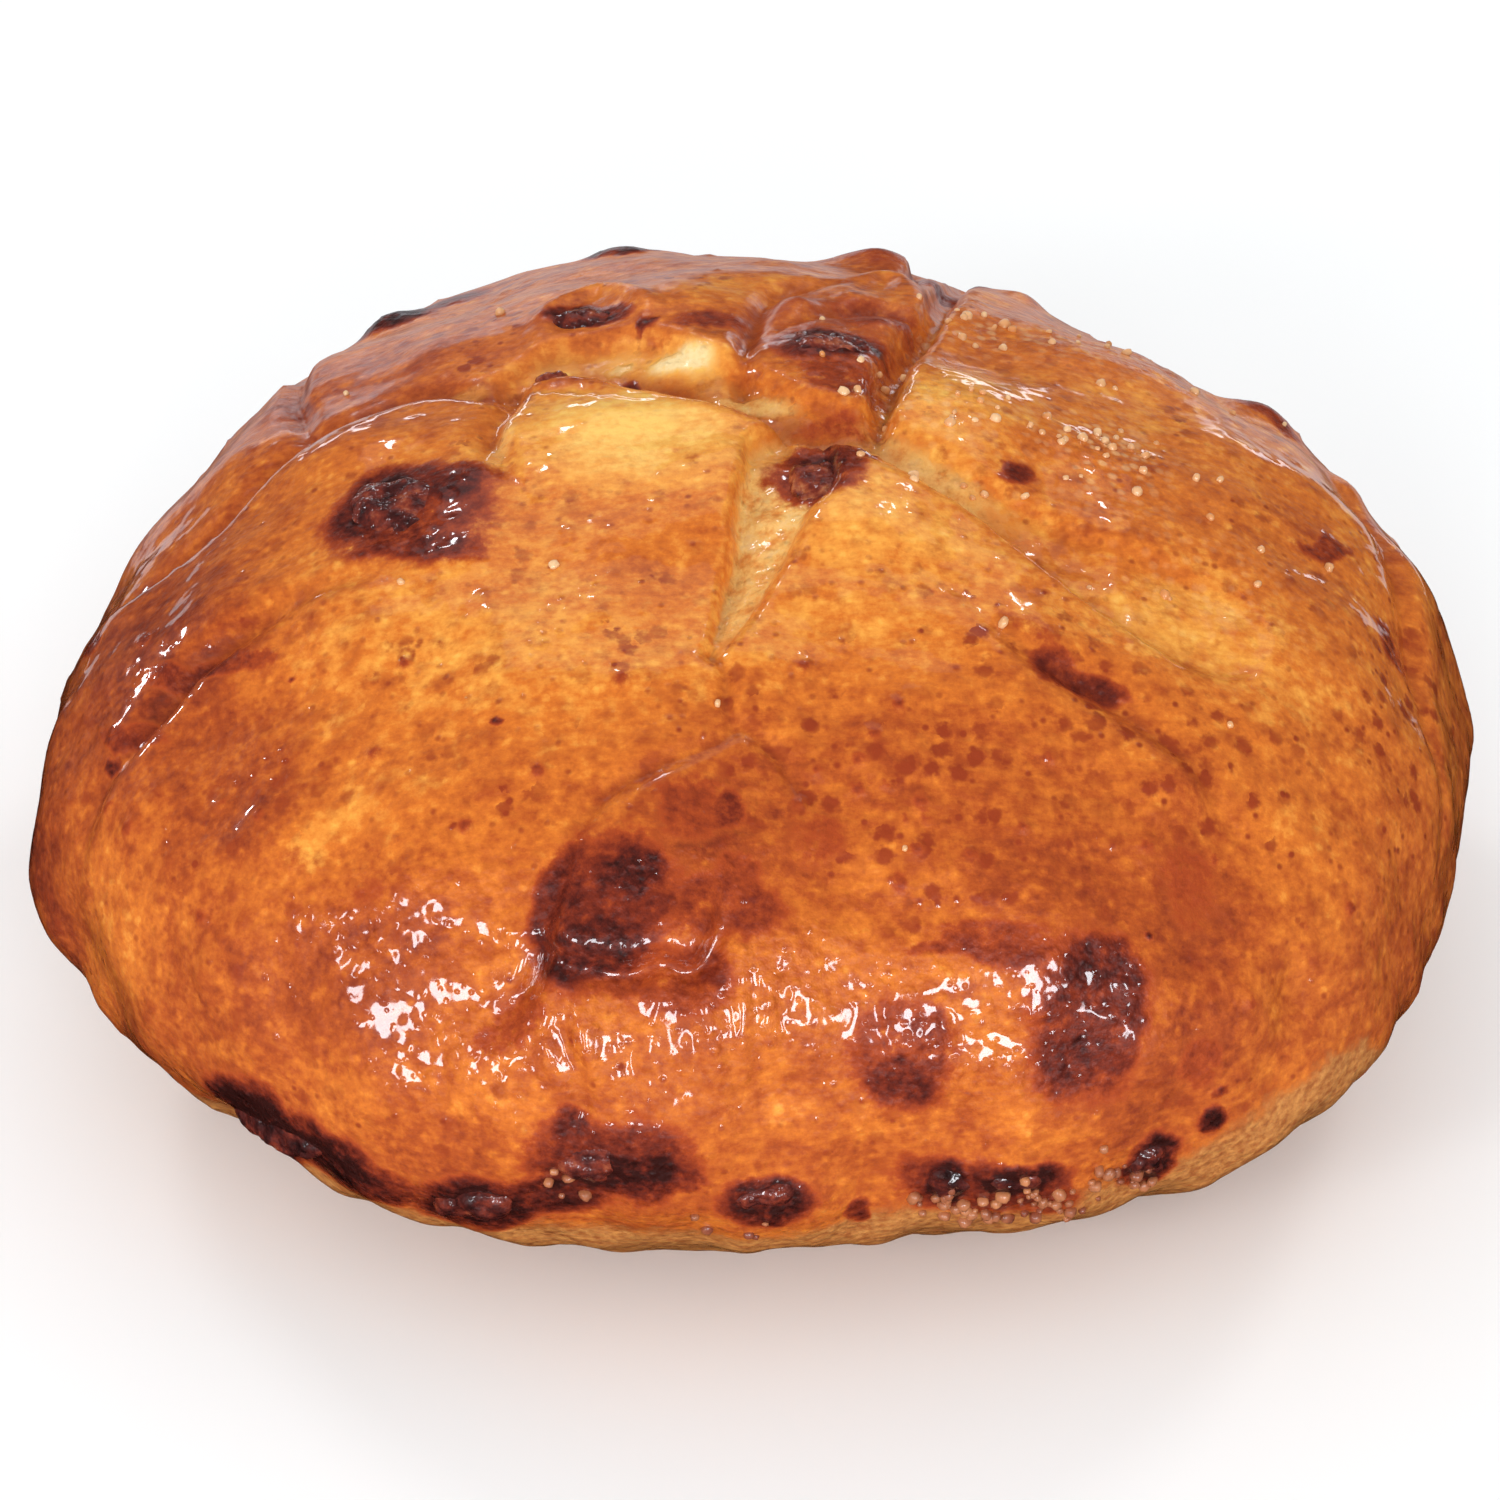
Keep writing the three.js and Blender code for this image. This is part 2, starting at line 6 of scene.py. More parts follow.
import bmesh
import bpy
import numpy as np
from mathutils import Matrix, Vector
from mathutils.kdtree import KDTree


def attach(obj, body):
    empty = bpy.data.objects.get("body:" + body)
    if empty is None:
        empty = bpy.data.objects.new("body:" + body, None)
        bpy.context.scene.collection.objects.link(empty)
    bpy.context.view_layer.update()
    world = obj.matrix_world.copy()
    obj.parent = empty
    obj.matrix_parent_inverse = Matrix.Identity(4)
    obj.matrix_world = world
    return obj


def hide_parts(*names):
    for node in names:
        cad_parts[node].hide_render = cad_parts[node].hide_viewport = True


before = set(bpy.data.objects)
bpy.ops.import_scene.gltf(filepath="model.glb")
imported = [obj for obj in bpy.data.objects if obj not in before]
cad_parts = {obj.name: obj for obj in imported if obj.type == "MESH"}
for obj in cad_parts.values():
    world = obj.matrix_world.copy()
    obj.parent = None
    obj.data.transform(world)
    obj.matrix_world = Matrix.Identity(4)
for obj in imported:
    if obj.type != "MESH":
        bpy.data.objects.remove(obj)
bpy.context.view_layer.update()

# ---- Sizes of the loaf, in millimetres; MM turns them into the scene's metres ----
MM = 0.001
LOAF_RADIUS = 78.2
LOAF_HEIGHT = 74
BELLY_HEIGHT = 28
HEEL_DROP = 34
CROWN_FULLNESS = 2.1
HEEL_FULLNESS = 2.2
CROWN_AXIS = (-1.05, -4.4)
PLAN_WAVES = [  # lobes, size, the way it faces
    (1, 2.6, 79), (2, 2.7, -6), (3, 2.6, -21), (4, 0.8, 26), (5, 0.5, 30), (6, 1.1, 14),
]

# ---- Fineness ----
CRUST_STEP = 0.71  # between points of the crust
HEEL_STEP = 1.2  # under the heel, where nothing shows
HEEL_WALK = 124
FOOT_STEP = 5
FRUIT_ROUNDS = 5

# ---- Relief: places are right and back, walked over the crust from the crown ----
# Slashes: width of the wall, height of the left and the right lip, how far those reach, and the path: right,
# back, half width, depth and how bare the crumb is. FLOOR_TILT tips the floors up to the left.
FLOOR_TILT = 0.3
EDGE_RAGGED = 0.7
SLASHES = [
    # across the crown, then down the right shoulder as a stretched band
    (1.4, 1.3, 1.0, 5, [
        (-28, 17, 0.8, 1.2, 0.3), (-24, 18.5, 1.8, 2.0, 0.35), (-20, 19, 2.6, 2.6, 0.35),
        (-14, 17.5, 3.4, 2.8, 0.35), (-8.5, 14, 3.4, 2.8, 0.35), (-3, 9.5, 2.8, 2.6, 0.35),
        (2, 5.5, 2.2, 2.4, 0.4), (7, 2.5, 2.2, 2.2, 0.4), (12, 0, 2.0, 2.0, 0.55), (18, -4.5, 1.8, 1.8, 0.6),
        (25, -9, 1.8, 1.5, 0.5), (32, -13.5, 2.8, 1.2, 0.2), (40, -17.5, 5.0, 0.9, 0), (49, -21, 6.0, 0.5, 0),
    ]),
    # down the front as a wedge
    (1.3, 0.9, 0.9, 4, [
        (4.2, -3.5, 4.0, 1.9, 0.5), (4, -8, 4.4, 2.5, 0.7), (2.4, -14, 3.6, 2.4, 0.75),
        (1.3, -20, 2.8, 2.1, 0.75), (-0.6, -27, 2.1, 1.8, 0.7), (-2.2, -32, 1.4, 1.3, 0.6),
        (-4, -37, 0.5, 0.7, 0.4),
    ]),
    # up the back between two lobes
    (1.5, 0.5, 1.4, 5, [
        (12.5, 1, 0.8, 2.4, 0.3), (14.7, 9.5, 0.7, 3.0, 0), (16.5, 17, 0.7, 3.0, 0),
        (18.6, 23.6, 0.7, 2.8, 0), (21.5, 33, 0.7, 2.4, 0), (23, 42, 0.9, 2.4, 0), (25, 54, 0.6, 1.6, 0),
        (28, 66, 0.3, 0.6, 0),
    ]),
]

# Folds: width, how high the left side stands (the right one, if less than nothing), how far that reaches, and
# the path: right, back and depth. Where the depth is less than nothing, the fold stands up as a ridge.
FOLDS = [
    (1.6, 0.9, 6, [(-27, 14, 1.2), (-29, 5, 1.2), (-27, -1, 0.9), (-25, -6, 0.3)]),
    (2.2, 1.3, 8, [
        (-28, 14, 1.2), (-35, 17, 1.4), (-40, 18, 1.5), (-47, 16, 1.6), (-53, 14, 1.7), (-57, 11, 1.6),
        (-62, 6, 1.5), (-67, 4, 1.4), (-74, 2, 1.1), (-82, 4, 0.7), (-90, 8, 0.3),
    ]),
    (1.8, -0.9, 6, [(-56, 52, 0.5), (-55, 42, 1.2), (-55, 30, 1.3), (-53, 18, 0.7)]),
    (1.9, 0.8, 7, [
        (-38, -17, 0.2), (-47, -17, 0.6), (-52, -18, 1.0), (-57, -19.5, 1.8), (-62, -21, 2.2),
        (-66, -23.5, 2.0), (-71, -26.5, 1.3), (-76, -29, 0.7), (-82, -35, 0.2),
    ]),
    (1.4, -0.8, 6, [
        (-27, -74, 0.9), (-24.5, -69, 1.0), (-22, -63, 0.6), (-20, -58, 0.6), (-17, -54.5, 0.7),
        (-11, -52, 0.8), (-5, -50, 0.6), (-1, -48.5, 0.7), (3, -51.5, 0.7), (6, -56, 0.3),
    ]),
    (1.8, 1.4, 6, [
        (-26, -70, 0.5), (-21, -73, 1.2), (-15, -75, 1.3), (-11, -74.5, 1.2), (-7, -76, 1.8), (-4, -72, 1.0),
        (-3, -67, 0.2),
    ]),
    (1.4, 0, 5, [(-33, -78, 0.3), (-30, -76, 0.9), (-27, -74, 1.0), (-25, -71, 0.5)]),
    (1.3, 0.5, 5, [(-24, -80, 0.4), (-22, -84, 0.9), (-22, -88, 0.9), (-24, -91, 0.3)]),
    (0.9, 0.4, 4, [(-5, -37, 0.6), (-3, -40, 0.9), (-3, -44, 0.8), (-2, -48, 0.4)]),
    (2.4, -0.7, 8, [
        (25, -28, 0.3), (30, -32, 1.2), (34, -33.5, 1.7), (39, -35.5, 1.3), (43, -38, 0.9), (48, -41, 0.8),
        (52, -45, 0.3),
    ]),
    (2.0, 0.8, 7, [
        (68, 26, 0.3), (73, 15, 0.9), (76, 4, 1.1), (79, -4, 1.1), (82, -13, 0.9), (87, -26, 0.3),
    ]),
    (1.2, 0.6, 5, [(-1, 11, 0.9), (-0.5, 18, 1.2), (1, 27, 1.2), (3, 33, 1.0), (6, 36, 0.7), (12, 40, 0.3)]),
    (2.2, 1.0, 8, [(-34, 66, 0.3), (-20, 76, 1.2), (-4, 82, 1.5), (12, 80, 1.3), (24, 72, 0.4)]),
    (1.8, -0.8, 7, [(46, 58, 0.3), (56, 66, 1.1), (62, 76, 1.2), (64, 88, 0.5)]),
    # the arch over the fruit left of the crown
    (1.5, 0, 5, [
        (-23.5, 26, -0.5), (-22, 31, -1.1), (-17, 34.5, -1.2), (-13.5, 31, -1.1), (-11, 25.5, -0.6),
    ]),
    (1.2, 0.6, 5, [(4, 23, 0.3), (9, 28, 0.9), (15, 31.5, 0.9), (21, 30, 0.4)]),
    (2.0, 0, 5, [(10, 37, -0.5), (14.5, 43.5, -1.3), (17.7, 42.6, -1.2), (19, 38, -0.5)]),
    (1.0, 1.3, 6, [(19, 47, 0.4), (20.2, 54, 1.2), (20.4, 60, 1.2), (20, 66, 0.4)]),
    (1.4, 0, 4, [(-20, -74, -0.2), (-20.6, -78, -0.7), (-21.2, -84, -0.7), (-21.6, -88, -0.2)]),
    (1.2, 0, 4, [(-24.5, -75, -0.2), (-25.5, -80, -0.5), (-25.2, -86, -0.3)]),
    (1.1, 0, 4, [(-1.6, -74, -0.2), (-1.1, -80, -0.6), (-0.8, -88, -0.3)]),
    (1.0, 0, 4, [(1.7, -75, -0.2), (2.1, -81, -0.5), (2.6, -86, -0.2)]),
    (1.2, 0, 4, [(-6, -76, -0.2), (-5.6, -82, -0.45), (-4.8, -88, -0.2)]),
    (1.3, 0, 4, [(-12, -77, -0.2), (-13, -83, -0.4), (-13.2, -89, -0.2)]),
]

# Tables of round patches give right, back, spread along and across, an amount, and the turn in degrees where
# there is one. Here the amount is the height of a lump or, if less than nothing, of a dent.
LUMPS = [
    (-14, 4, 9, 6, 1.5), (14, -13, 12, 7, 1.1, -25), (23, 10, 9, 9, 1.8), (-43, 6, 13, 7, 1.0),
    (-10, 31, 9, 8, 1.3), (9, 21, 8, 9, 1.5), (-8, -63, 12, 11, 1.9), (-57, 38, 12, 10, 0.8),
    (42, 28, 14, 10, 0.9), (60, -14, 14, 12, 0.8), (46, -43, 4, 6, 0.8, -35), (-48, -62, 14, 12, 0.9),
    (22, -66, 13, 10, 0.8), (66, -61, 3, 5, -1.0, 20), (52, -63, 3.5, 3, -0.7), (-19, 37, 6, 3.5, 0.4, -20),
    (15, 57, 5.5, 4, 2.4), (-16, 60, 3.2, 2.6, 0.9), (-44, 53, 4, 3, 1.8), (-36, 56, 4, 3, 0.5),
    (34, 53, 3.5, 3, 1.1), (62, 35, 5, 3.5, 2.0), (72, 26, 3, 3, 1.0), (98, 6, 4, 4, 0.9),
    (12, 33, 3, 3, 1.0), (5, 29, 2.6, 3, 0.9), (15, 26, 2.4, 3, 0.9), (36, -70, 5, 7, 0.9),
    (-30, 88, 13, 11, 1.2), (34, 90, 12, 12, 1.0), (82, 50, 12, 10, 1.0), (-82, 42, 10, 12, 0.9),
    (-7.7, 16, 4, 3.2, 1.6, -20), (-18, 26, 5, 3, -1.0, -10), (69, 30, 9, 9, 1.1), (49, 47, 7, 7, -1.5),
    (-59, 46, 6, 6, -0.8), (-76, 24, 12, 12, 0.9), (-91, -6, 8, 8, -0.6), (-99, -28, 9, 9, 1.2),
    (-95, -60, 5, 5, -0.9), (-75, -90, 10, 10, 1.1), (-25, -117, 26, 6, -0.5), (57, -107, 6, 6, -0.8),
    (77, -88, 8, 8, 1.1), (91, -62, 4, 4, -0.9), (96, -44, 7, 7, 1.5), (92, 2, 8, 6, -0.7),
    (-98, -46, 6, 6, 0.8),
]

# Slow unevenness: waves with a length, a direction, a shift and a height.
SWELLS = [
    (47, 22, 0.6, 0.45),
    (38, 101, 2.1, 0.4),
    (27, 64, 4.4, 0.3),
    (21, 148, 1.2, 0.22),
    (14, 8, 3.3, 0.14),
    (11, 87, 5.1, 0.12),
]
RELIEF_ENDS = (118, 142)
LIP_RISE = 1.2  # from the wall of a slash to the top of its lip

# Noise in the relief and the browning: height or amount, size of its lumps, seed.
WRINKLES = (0.18, 7, 1)
FINE_WRINKLES = (0.12, 2.8, 4)
THREADS = (0.42, 2.8, 9)
CRAGS = (0.32, 4.2, 14)
FINE_CRAGS = (0.2, 2, 19)
RUNS = (0.3, 2.6, 61)
RUNS_PATCH = ((-8, -84), (26, 12))
CLOUDS = (0.09, 14, 41)
FINE_CLOUDS = (0.07, 4, 43)
FRUIT_WRINKLES = (0.16, 0.9, 47)
FRUIT_CREASES = (0.35, 2.4, 51)
FRUIT_GRAIN = (0.1, 0.9, 57)
FRUIT_LUMPS = (1.1, 3.2, 53)
FRUIT_TUCK = 0.15  # how far the creases as a whole lie in

# Fruit that shows: node, (right, back), size (long, wide, thick), sink, turn, and tone from black to tan.
FRUIT = [
    ("fruit_hood", (-17.8, 27), (9, 5.5, 5), 1.2, -14, 0.36),
    ("fruit_ridge", (8.6, 18), (10, 8, 5), 1.8, 11, 0.46),
    ("fruit_slash", (7.6, -6.2), (7.6, 9, 4.5), 1.5, 10, 0.52),
    ("fruit_left", (-38, -6), (13, 10, 6), 1.7, -20, 0.37),
    ("fruit_nub_left", (-22.4, 15.9), (4.6, 3.4, 3), 0.3, -18, 0.6),
    ("fruit_nub_right", (-14.6, 14.4), (4, 3, 2.6), 0.3, -30, 0.62),
    ("fruit_heel_left", (-73, -79), (15, 6, 5), 1.7, -43, 0.26),
    ("fruit_heel_low_left", (-45, -98.5), (12, 6, 4.5), 1.5, -12, 0.32),
    ("fruit_heel_mid_left", (-21.5, -96), (10, 8, 5), 1.9, -20, 0.42),
    ("fruit_heel_middle", (3, -104), (10, 4.6, 4), 1.3, 18, 0.36),
    ("fruit_heel_mid_right", (31.7, -100), (6.4, 6, 4.5), 1.6, 10, 0.18),
    ("fruit_heel_right", (40.5, -95.6), (7.4, 4.6, 4), 1.4, 25, 0.3),
    ("fruit_heel_far_right", (59.8, -87.4), (5.4, 5.4, 4), 1.3, 40, 0.34),
    ("fruit_back_left", (-40, 92), (10, 7, 5), 1.2, 25, 0.3),
    ("fruit_back_right", (52, 84), (11, 8, 5), 1.2, -35, 0.3),
]

# ---- Finish of the crust, in patches: where it is browner or, less than nothing, paler ----
# Among these, the pale band along the arch over the hood fruit (-17, 33.5) is painted light on its ridge, and
# the darker patch on the far left side (-94, -22) is painted shade.
BROWNING_LIGHT_AND_SHADE = [
    (-13, 1, 15, 10.5, -0.48), (-7, 7, 10, 1.8, 0.35, -28), (15, -15, 12, 9, -0.26, -25),
    (20, 5, 7, 11, -0.26), (-28, -30, 24, 11, -0.18, -16), (8, -33, 13, 9, -0.1, 10),
    (-50, -62, 20, 16, -0.02, -24), (50, -54, 8, 6, 0.2, -30), (56, -74, 8, 10, 0.14, 10),
    (56, -28, 10, 8, -0.1, 26), (45, -20, 11, 7, -0.3, 22), (13, -99, 9, 4, 0.14),
    (-35, -88, 11, 5, -0.08, -13), (20, -52, 20, 12, 0.14, 14), (34, -64, 14, 8, 0.16, 14),
    (-7, -62, 12, 11, 0.26), (-66, -18, 14, 24, 0.29, 20), (-44, 26, 18, 14, 0.14), (-15, 38, 18, 14, 0.06),
    (9, 22, 10, 13, 0.2), (16, 55, 8, 6, 0.1), (-5, 33, 9, 5, -0.16), (-17, 33.5, 7, 1.8, -0.12),
    (70, 4, 8, 18, -0.02), (-94, -22, 10, 24, 0.22), (92, -20, 10, 22, -0.06), (-40, 88, 22, 14, 0.1),
    (30, 86, 20, 14, 0.06), (84, 46, 14, 18, 0.14), (50, 20, 16, 14, -0.08), (44, -82, 8, 4, 0.2, 10),
    (-57, -44, 8, 5, 0.2), (-92, -46, 6, 7, -0.2), (2, -45, 8, 4, 0.1), (-20, 13.4, 4, 1.5, 0.34, -12),
    (-8, 10.6, 9, 1.6, 0.3, -33), (7, 3, 7, 1.8, 0.24, -24), (-7.4, 16.4, 3.6, 2.2, -0.75, -20),
    (-13.6, 19.6, 2.6, 1.8, -0.3), (-22, 20, 4, 2, -0.2), (24, 12, 6, 8, -0.12),
    (-56, -80, 12, 6, -0.12, -30), (-42, -90, 14, 5, 0.16, -14), (8, -96, 16, 5, -0.08),
    (38, -88, 8, 4, -0.12, 20), (-48, -50, 6, 5, -0.22, -24), (-42, -64, 12, 8, 0.2, -20),
    (-62, -70, 14, 12, 0.12, -30), (-80, -46, 5, 12, -0.16),
]

# Caramel stains, and how dark they are.
STAINS = [
    (-36.5, -8.5, 8, 7, 0.5, -19), (-40, -5.3, 4.2, 5.2, 0.86, -22), (-32.8, -4.0, 5.6, 3.0, 0.74, -18),
    (-36, -13.5, 6.4, 2.8, 0.66, -19), (7.4, -6.2, 4.6, 5.2, 0.62, 10), (8.0, -5.8, 3.0, 3.2, 0.8, 10),
    (9.2, 2.5, 4.4, 1.5, 0.36, -12), (9.6, 18.6, 5.8, 3.6, 0.85, 11), (10.5, 11, 5.0, 4.6, 0.42, 6),
    (14.4, 29.5, 5.5, 3.4, 0.42, 21), (8, 27, 9, 6, 0.26, 17), (-17.8, 27.1, 4.8, 2.2, 0.85, -14),
    (-4.5, 23.1, 3.4, 2.0, 0.5, -8), (-11.4, 23.1, 1.1, 0.9, 0.8, -6), (-22.4, 15.9, 1.9, 1.5, 0.6, -18),
    (-14.6, 14.9, 1.2, 1.2, 0.6, -14), (-7.2, -57.7, 4.4, 3.8, 0.42, -8), (-2, -58.3, 1.7, 2.2, 0.62, -4),
    (-1.6, -65.3, 3.1, 2.3, 0.42, -5), (-1.3, -69.1, 1.8, 0.9, 0.5, -5), (7.8, -61.8, 3.1, 3.4, 0.34, 4),
    (-22, -66, 3.4, 6.4, 0.72, -13), (-18.5, -71.5, 6.6, 3.4, 0.78, -11), (-14, -64.6, 3.8, 2.2, 0.82, -11),
    (-17, -67.5, 7.5, 7.0, 0.58, -11), (-5.4, -75.6, 3.0, 1.8, 0.52, -8), (-3, -69.5, 7.5, 3.4, 0.5, -6),
    (-12, -76, 10, 3.4, 0.42, -8), (-30, -78, 6, 3, 0.36, 30), (28.8, -70.2, 9.0, 1.5, 0.5, 14),
    (41, -68, 4.6, 3.6, 0.76, 22), (41, -73.4, 5.0, 4.2, 0.66, 22), (41.4, -79.2, 4.4, 4.0, 0.74, 21),
    (45.4, -73.6, 2.8, 7.6, 0.62, 22), (41.5, -73.5, 6.6, 9.0, 0.5, 22), (30, -69, 8, 2.6, 0.42, 16),
    (21.2, -88.2, 4.8, 3.0, 0.68, 10), (23.6, -82.3, 3.0, 3.8, 0.5, 13), (20.5, -85, 7.5, 6.5, 0.42, 10),
    (56.4, -73.3, 2.4, 3.2, 0.42, 23), (63.4, -78.6, 1.5, 1.5, 0.95, 21), (61.7, -75.8, 1.0, 0.8, 0.7, 22),
    (59.8, -87.4, 3.5, 3.6, 1.05, 19), (40.5, -95.6, 4.8, 2.4, 1.05, 17), (31.7, -100, 3.2, 3.6, 1.15, 13),
    (37, -99, 13, 4.6, 0.66, 12), (-9.5, -100.6, 3.2, 1.8, 0.6, -10), (-20, -96, 11, 5.4, 0.66, -12),
    (17.9, -106.5, 1.8, 2.6, 0.7, 6), (-24.3, -90.9, 2.4, 2.6, 0.7, -11), (-21.4, -97.4, 5.3, 3.6, 1.0, -11),
    (-15.5, -99.3, 5.7, 3.6, 0.9, -10), (-33, -99.4, 11, 3.2, 0.8, -12), (-44, -98.3, 9, 4.2, 1.05, -10),
    (3, -104.4, 6.4, 3.0, 1.0, 3), (-73.8, -76.6, 8, 5.2, 1.15, -43), (-64.6, -84.8, 9, 4.8, 1.0, -36),
    (-55, -92, 6, 3, 0.7, -28), (-59.6, -21.8, 8.0, 1.9, 0.58, -24), (-78.7, -3.6, 2.4, 1.6, 0.5, -49),
    (-68.8, -11.9, 1.9, 1.2, 0.5, -38), (-73.6, -27.1, 1.3, 1.3, 0.85, -35), (28.3, -3.1, 2.0, 1.6, 0.62, 15),
    (64, 1.1, 4.7, 1.7, 0.5, 41), (74.1, -7.3, 2.6, 3.6, 0.5, 43), (32.3, -32, 2.6, 2.0, 0.56, -10),
    (37, -33.8, 3.4, 2.2, 0.66, -14), (49.8, -55.1, 4.5, 3.6, 0.36, -35), (-45.2, -57.5, 2.4, 1.7, 0.3, -20),
    (-52.3, -51.7, 2.6, 1.6, 0.26, -23), (-69.5, -24.8, 5.5, 1.4, 0.5, -36),
    (29.5, -28.5, 4.5, 1.3, 0.3, -25), (-44, 53, 5, 3, 0.9), (-36, 56, 5, 3, 0.6), (-16, 60, 3.4, 2.6, 0.9),
    (15, 57, 4.5, 3, 0.4), (26, 55, 4, 2.6, 0.5), (62, 34.5, 4.4, 2.4, 0.5, -30), (-40, 92, 8, 6, 1.0, 25),
    (52, 84, 8, 6, 1.0, -35), (8, 98, 7, 4, 0.8), (96, 30, 5, 6, 0.6), (-98, 20, 5, 5, 0.6),
]

# Small blisters, browner than the crust: right, back, radius.
BLISTERS = [
    (-74.8, -32.3, 1.3), (-72.4, -36.7, 1.1), (-60.5, -40.4, 1.0), (-56, -44.3, 1.1), (-42.3, -42, 1.2),
    (-32.4, -54.6, 1.2), (-24.1, -49.9, 1.1), (-14.6, -39.5, 1.4), (6.3, -40, 1.1), (17.2, -43.6, 0.9),
    (14.5, -48.1, 1.2), (13, -51.6, 1.3), (12.8, -55.2, 1.2), (15.9, -54.3, 0.8), (8.1, -53.3, 1.0),
    (5.8, -57.6, 1.2), (20.1, -55.5, 1.1), (18.6, -57.9, 0.9), (20.8, -57.2, 0.9), (19.9, -61.1, 1.2),
    (18, -65.6, 1.5), (26, -60, 1.0), (31, -55, 0.9), (44, -52, 1.1), (52, -50, 0.9), (70, -48, 1.0),
    (60, -64, 1.1), (33, -45, 0.8), (-38, -31, 0.9), (-66, -52, 1.1), (-30, 40, 1.2), (44, 44, 1.1),
    (78, 20, 1.2), (89.5, -60.5, 2.2),
]

STAIN_SPREAD = 1.3
STAIN_EDGE = (0.12, 0.66)
BLISTER_STAIN = 0.48
BLISTER_HEIGHT = 0.35
SPECK_STAIN = 1.5

# Where red-brown freckles stand close together.
FRECKLED_EVERYWHERE = 0.22
FRECKLED = [
    (20, -55, 22, 13, 0.9), (46, -42, 20, 13, 0.6, -20), (-10, -34, 16, 8, 0.4), (-58, -38, 20, 14, 0.3),
    (-30, -52, 16, 9, 0.4), (30, -30, 16, 7, 0.7, -20), (78, -20, 14, 24, 0.6), (-36, 30, 22, 12, 0.5),
    (40, 60, 26, 14, 0.5), (-60, 70, 22, 14, 0.5), (0, 92, 30, 14, 0.5), (-96, 0, 16, 26, 0.5),
]

# Specks burnt black: right, back, radius.
SPECKS = [(-50.2, -27.6, 0.3), (-28.4, -42.6, 0.45), (46, -62, 0.3)]

# Crumb that shows outside the slashes, and how bare it is.
BARE_EDGE = (0.1, 0.8)
BARE_PATCHES = [
    (-27.3, 1, 1.7, 7, 0.55, -8), (-33, 17, 4, 1.6, 0.6, 10), (24, -10, 8, 2.2, 0.4, -27),
    (-7.6, 16.6, 4.6, 2.0, 0.85, -14), (-19.6, 17.8, 3.4, 1.5, 0.85, -5), (-14.6, 18.8, 2.4, 1.1, 0.7),
    (0.4, 8.4, 7.0, 1.6, 0.8, -24),
]

# Where the pale heel starts, and where it rises towards the front and the right.
RIM_WALK = 106
RIM_FADE = 12
RIM_RISES = [(40, -98, 30, 14, 5, 20), (79, -68, 20, 16, 13, 45)]

# ---- Grains and pimples: right, back, spread both ways, how many ----
SUGAR_CLUSTERS = [
    (38, 4, 6, 8, 22), (20, 6, 9, 7, 14), (24, 30, 10, 5, 14), (42, 30, 14, 7, 12), (50, -14, 12, 9, 6),
    (20, -7, 10, 2, 8), (12, 14, 4, 5, 8), (0, 0, 50, 46, 10),
]
SUGAR_SIZES = (0.6, 1.4)
CRUMB_CLUSTERS = [
    (34, -103, 8, 1.8, 26), (46, -98, 6, 2.4, 26), (57, -91, 5, 2.6, 18), (-2, -108, 10, 2, 5),
    (-26, -99, 6, 2, 5),
]
CRUMB_SIZES = (0.7, 1.8)
GRAIN_SINK = 0.4  # how much of each lies in the crust
GRAIN_DEVIATIONS = 1.6  # standard deviations in a spread
CLOSE_SUGAR = 24  # grains of a patch that cover it
GRAIN_ROUNDS = 2
GRAIN_SQUARENESS = 4  # 2 would be a ball
PIMPLE_AREAS = [
    (20, -56, 22, 13, 130), (-8, -58, 13, 9, 60), (-50, -30, 26, 18, 120), (60, -40, 22, 18, 110),
    (-60, -60, 24, 18, 90), (0, 0, 80, 80, 420),
]
PIMPLE_DEVIATIONS = 1.5
PIMPLE_RADII = (0.55, 1.25)
PIMPLE_HEIGHTS = (0.1, 0.28)

# Where the crust is rough, and how rough.
CRAGGY = [
    (-30, -82, 24, 9, 0.8, -8), (0, -80, 16, 12, 0.8), (28, -82, 22, 12, 0.9, 12),
    (-40, -62, 18, 10, 0.5, -12), (10, 18, 9, 14, 0.7), (-6, -62, 13, 10, 0.6), (44, 34, 24, 9, 0.8),
    (-36, 44, 26, 12, 0.6),
]

# Masks that rise evenly: where each starts and how far it takes, walked from the crown or to the back.
ROUGH_HEEL = (96, 10)
ROUGH_HEEL_AMOUNT = 0.45
# The crust darkens further down the sides from here: painted shade of the low sides.
SHADED_SIDES = (66, 36)
DULL_BACK = (8, 18)
UPWARD_BACK = (-50, 50)

# How masks are pushed about: size of the lumps and how far.
STAIN_WARP = (6, 1.9)
FINE_STAIN_WARP = (1.8, 0.9)
BROWNING_WARP = (9, 3)

# ---- Camera and room ----
VIEW_ELEVATION = 37
VIEW_DISTANCE = 700
VIEW_TARGET = (-0.11, 0.41, 30.55)  # from the foot of the crown's axis
SENSOR_WIDTH = 36
VIEW_LENS = 147.2
FLOOR_SIZE = 6.0
WORLD_STRENGTH = 0.8
LIGHT_DISTANCE = 0.9
LIGHTS_AIM_AT = (0, 0, 0.03)
GLOSS_COLOUR = (0.9, 0.94, 1)
SOFT_BOXES = [  # name, azimuth from the front, elevation, size, power; the glaze doesn't show them
    ("left_box", -45, 20, (0.2, 0.24), 2.0),
    ("front_box", -2, 22, (0.14, 0.24), 1.2),
    ("right_box", 21, 14, (0.18, 0.24), 1.7),
    ("back_left_box", -140, 34, (0.16, 0.16), 1.0),
    ("back_right_box", 140, 34, (0.16, 0.16), 1.0),
]
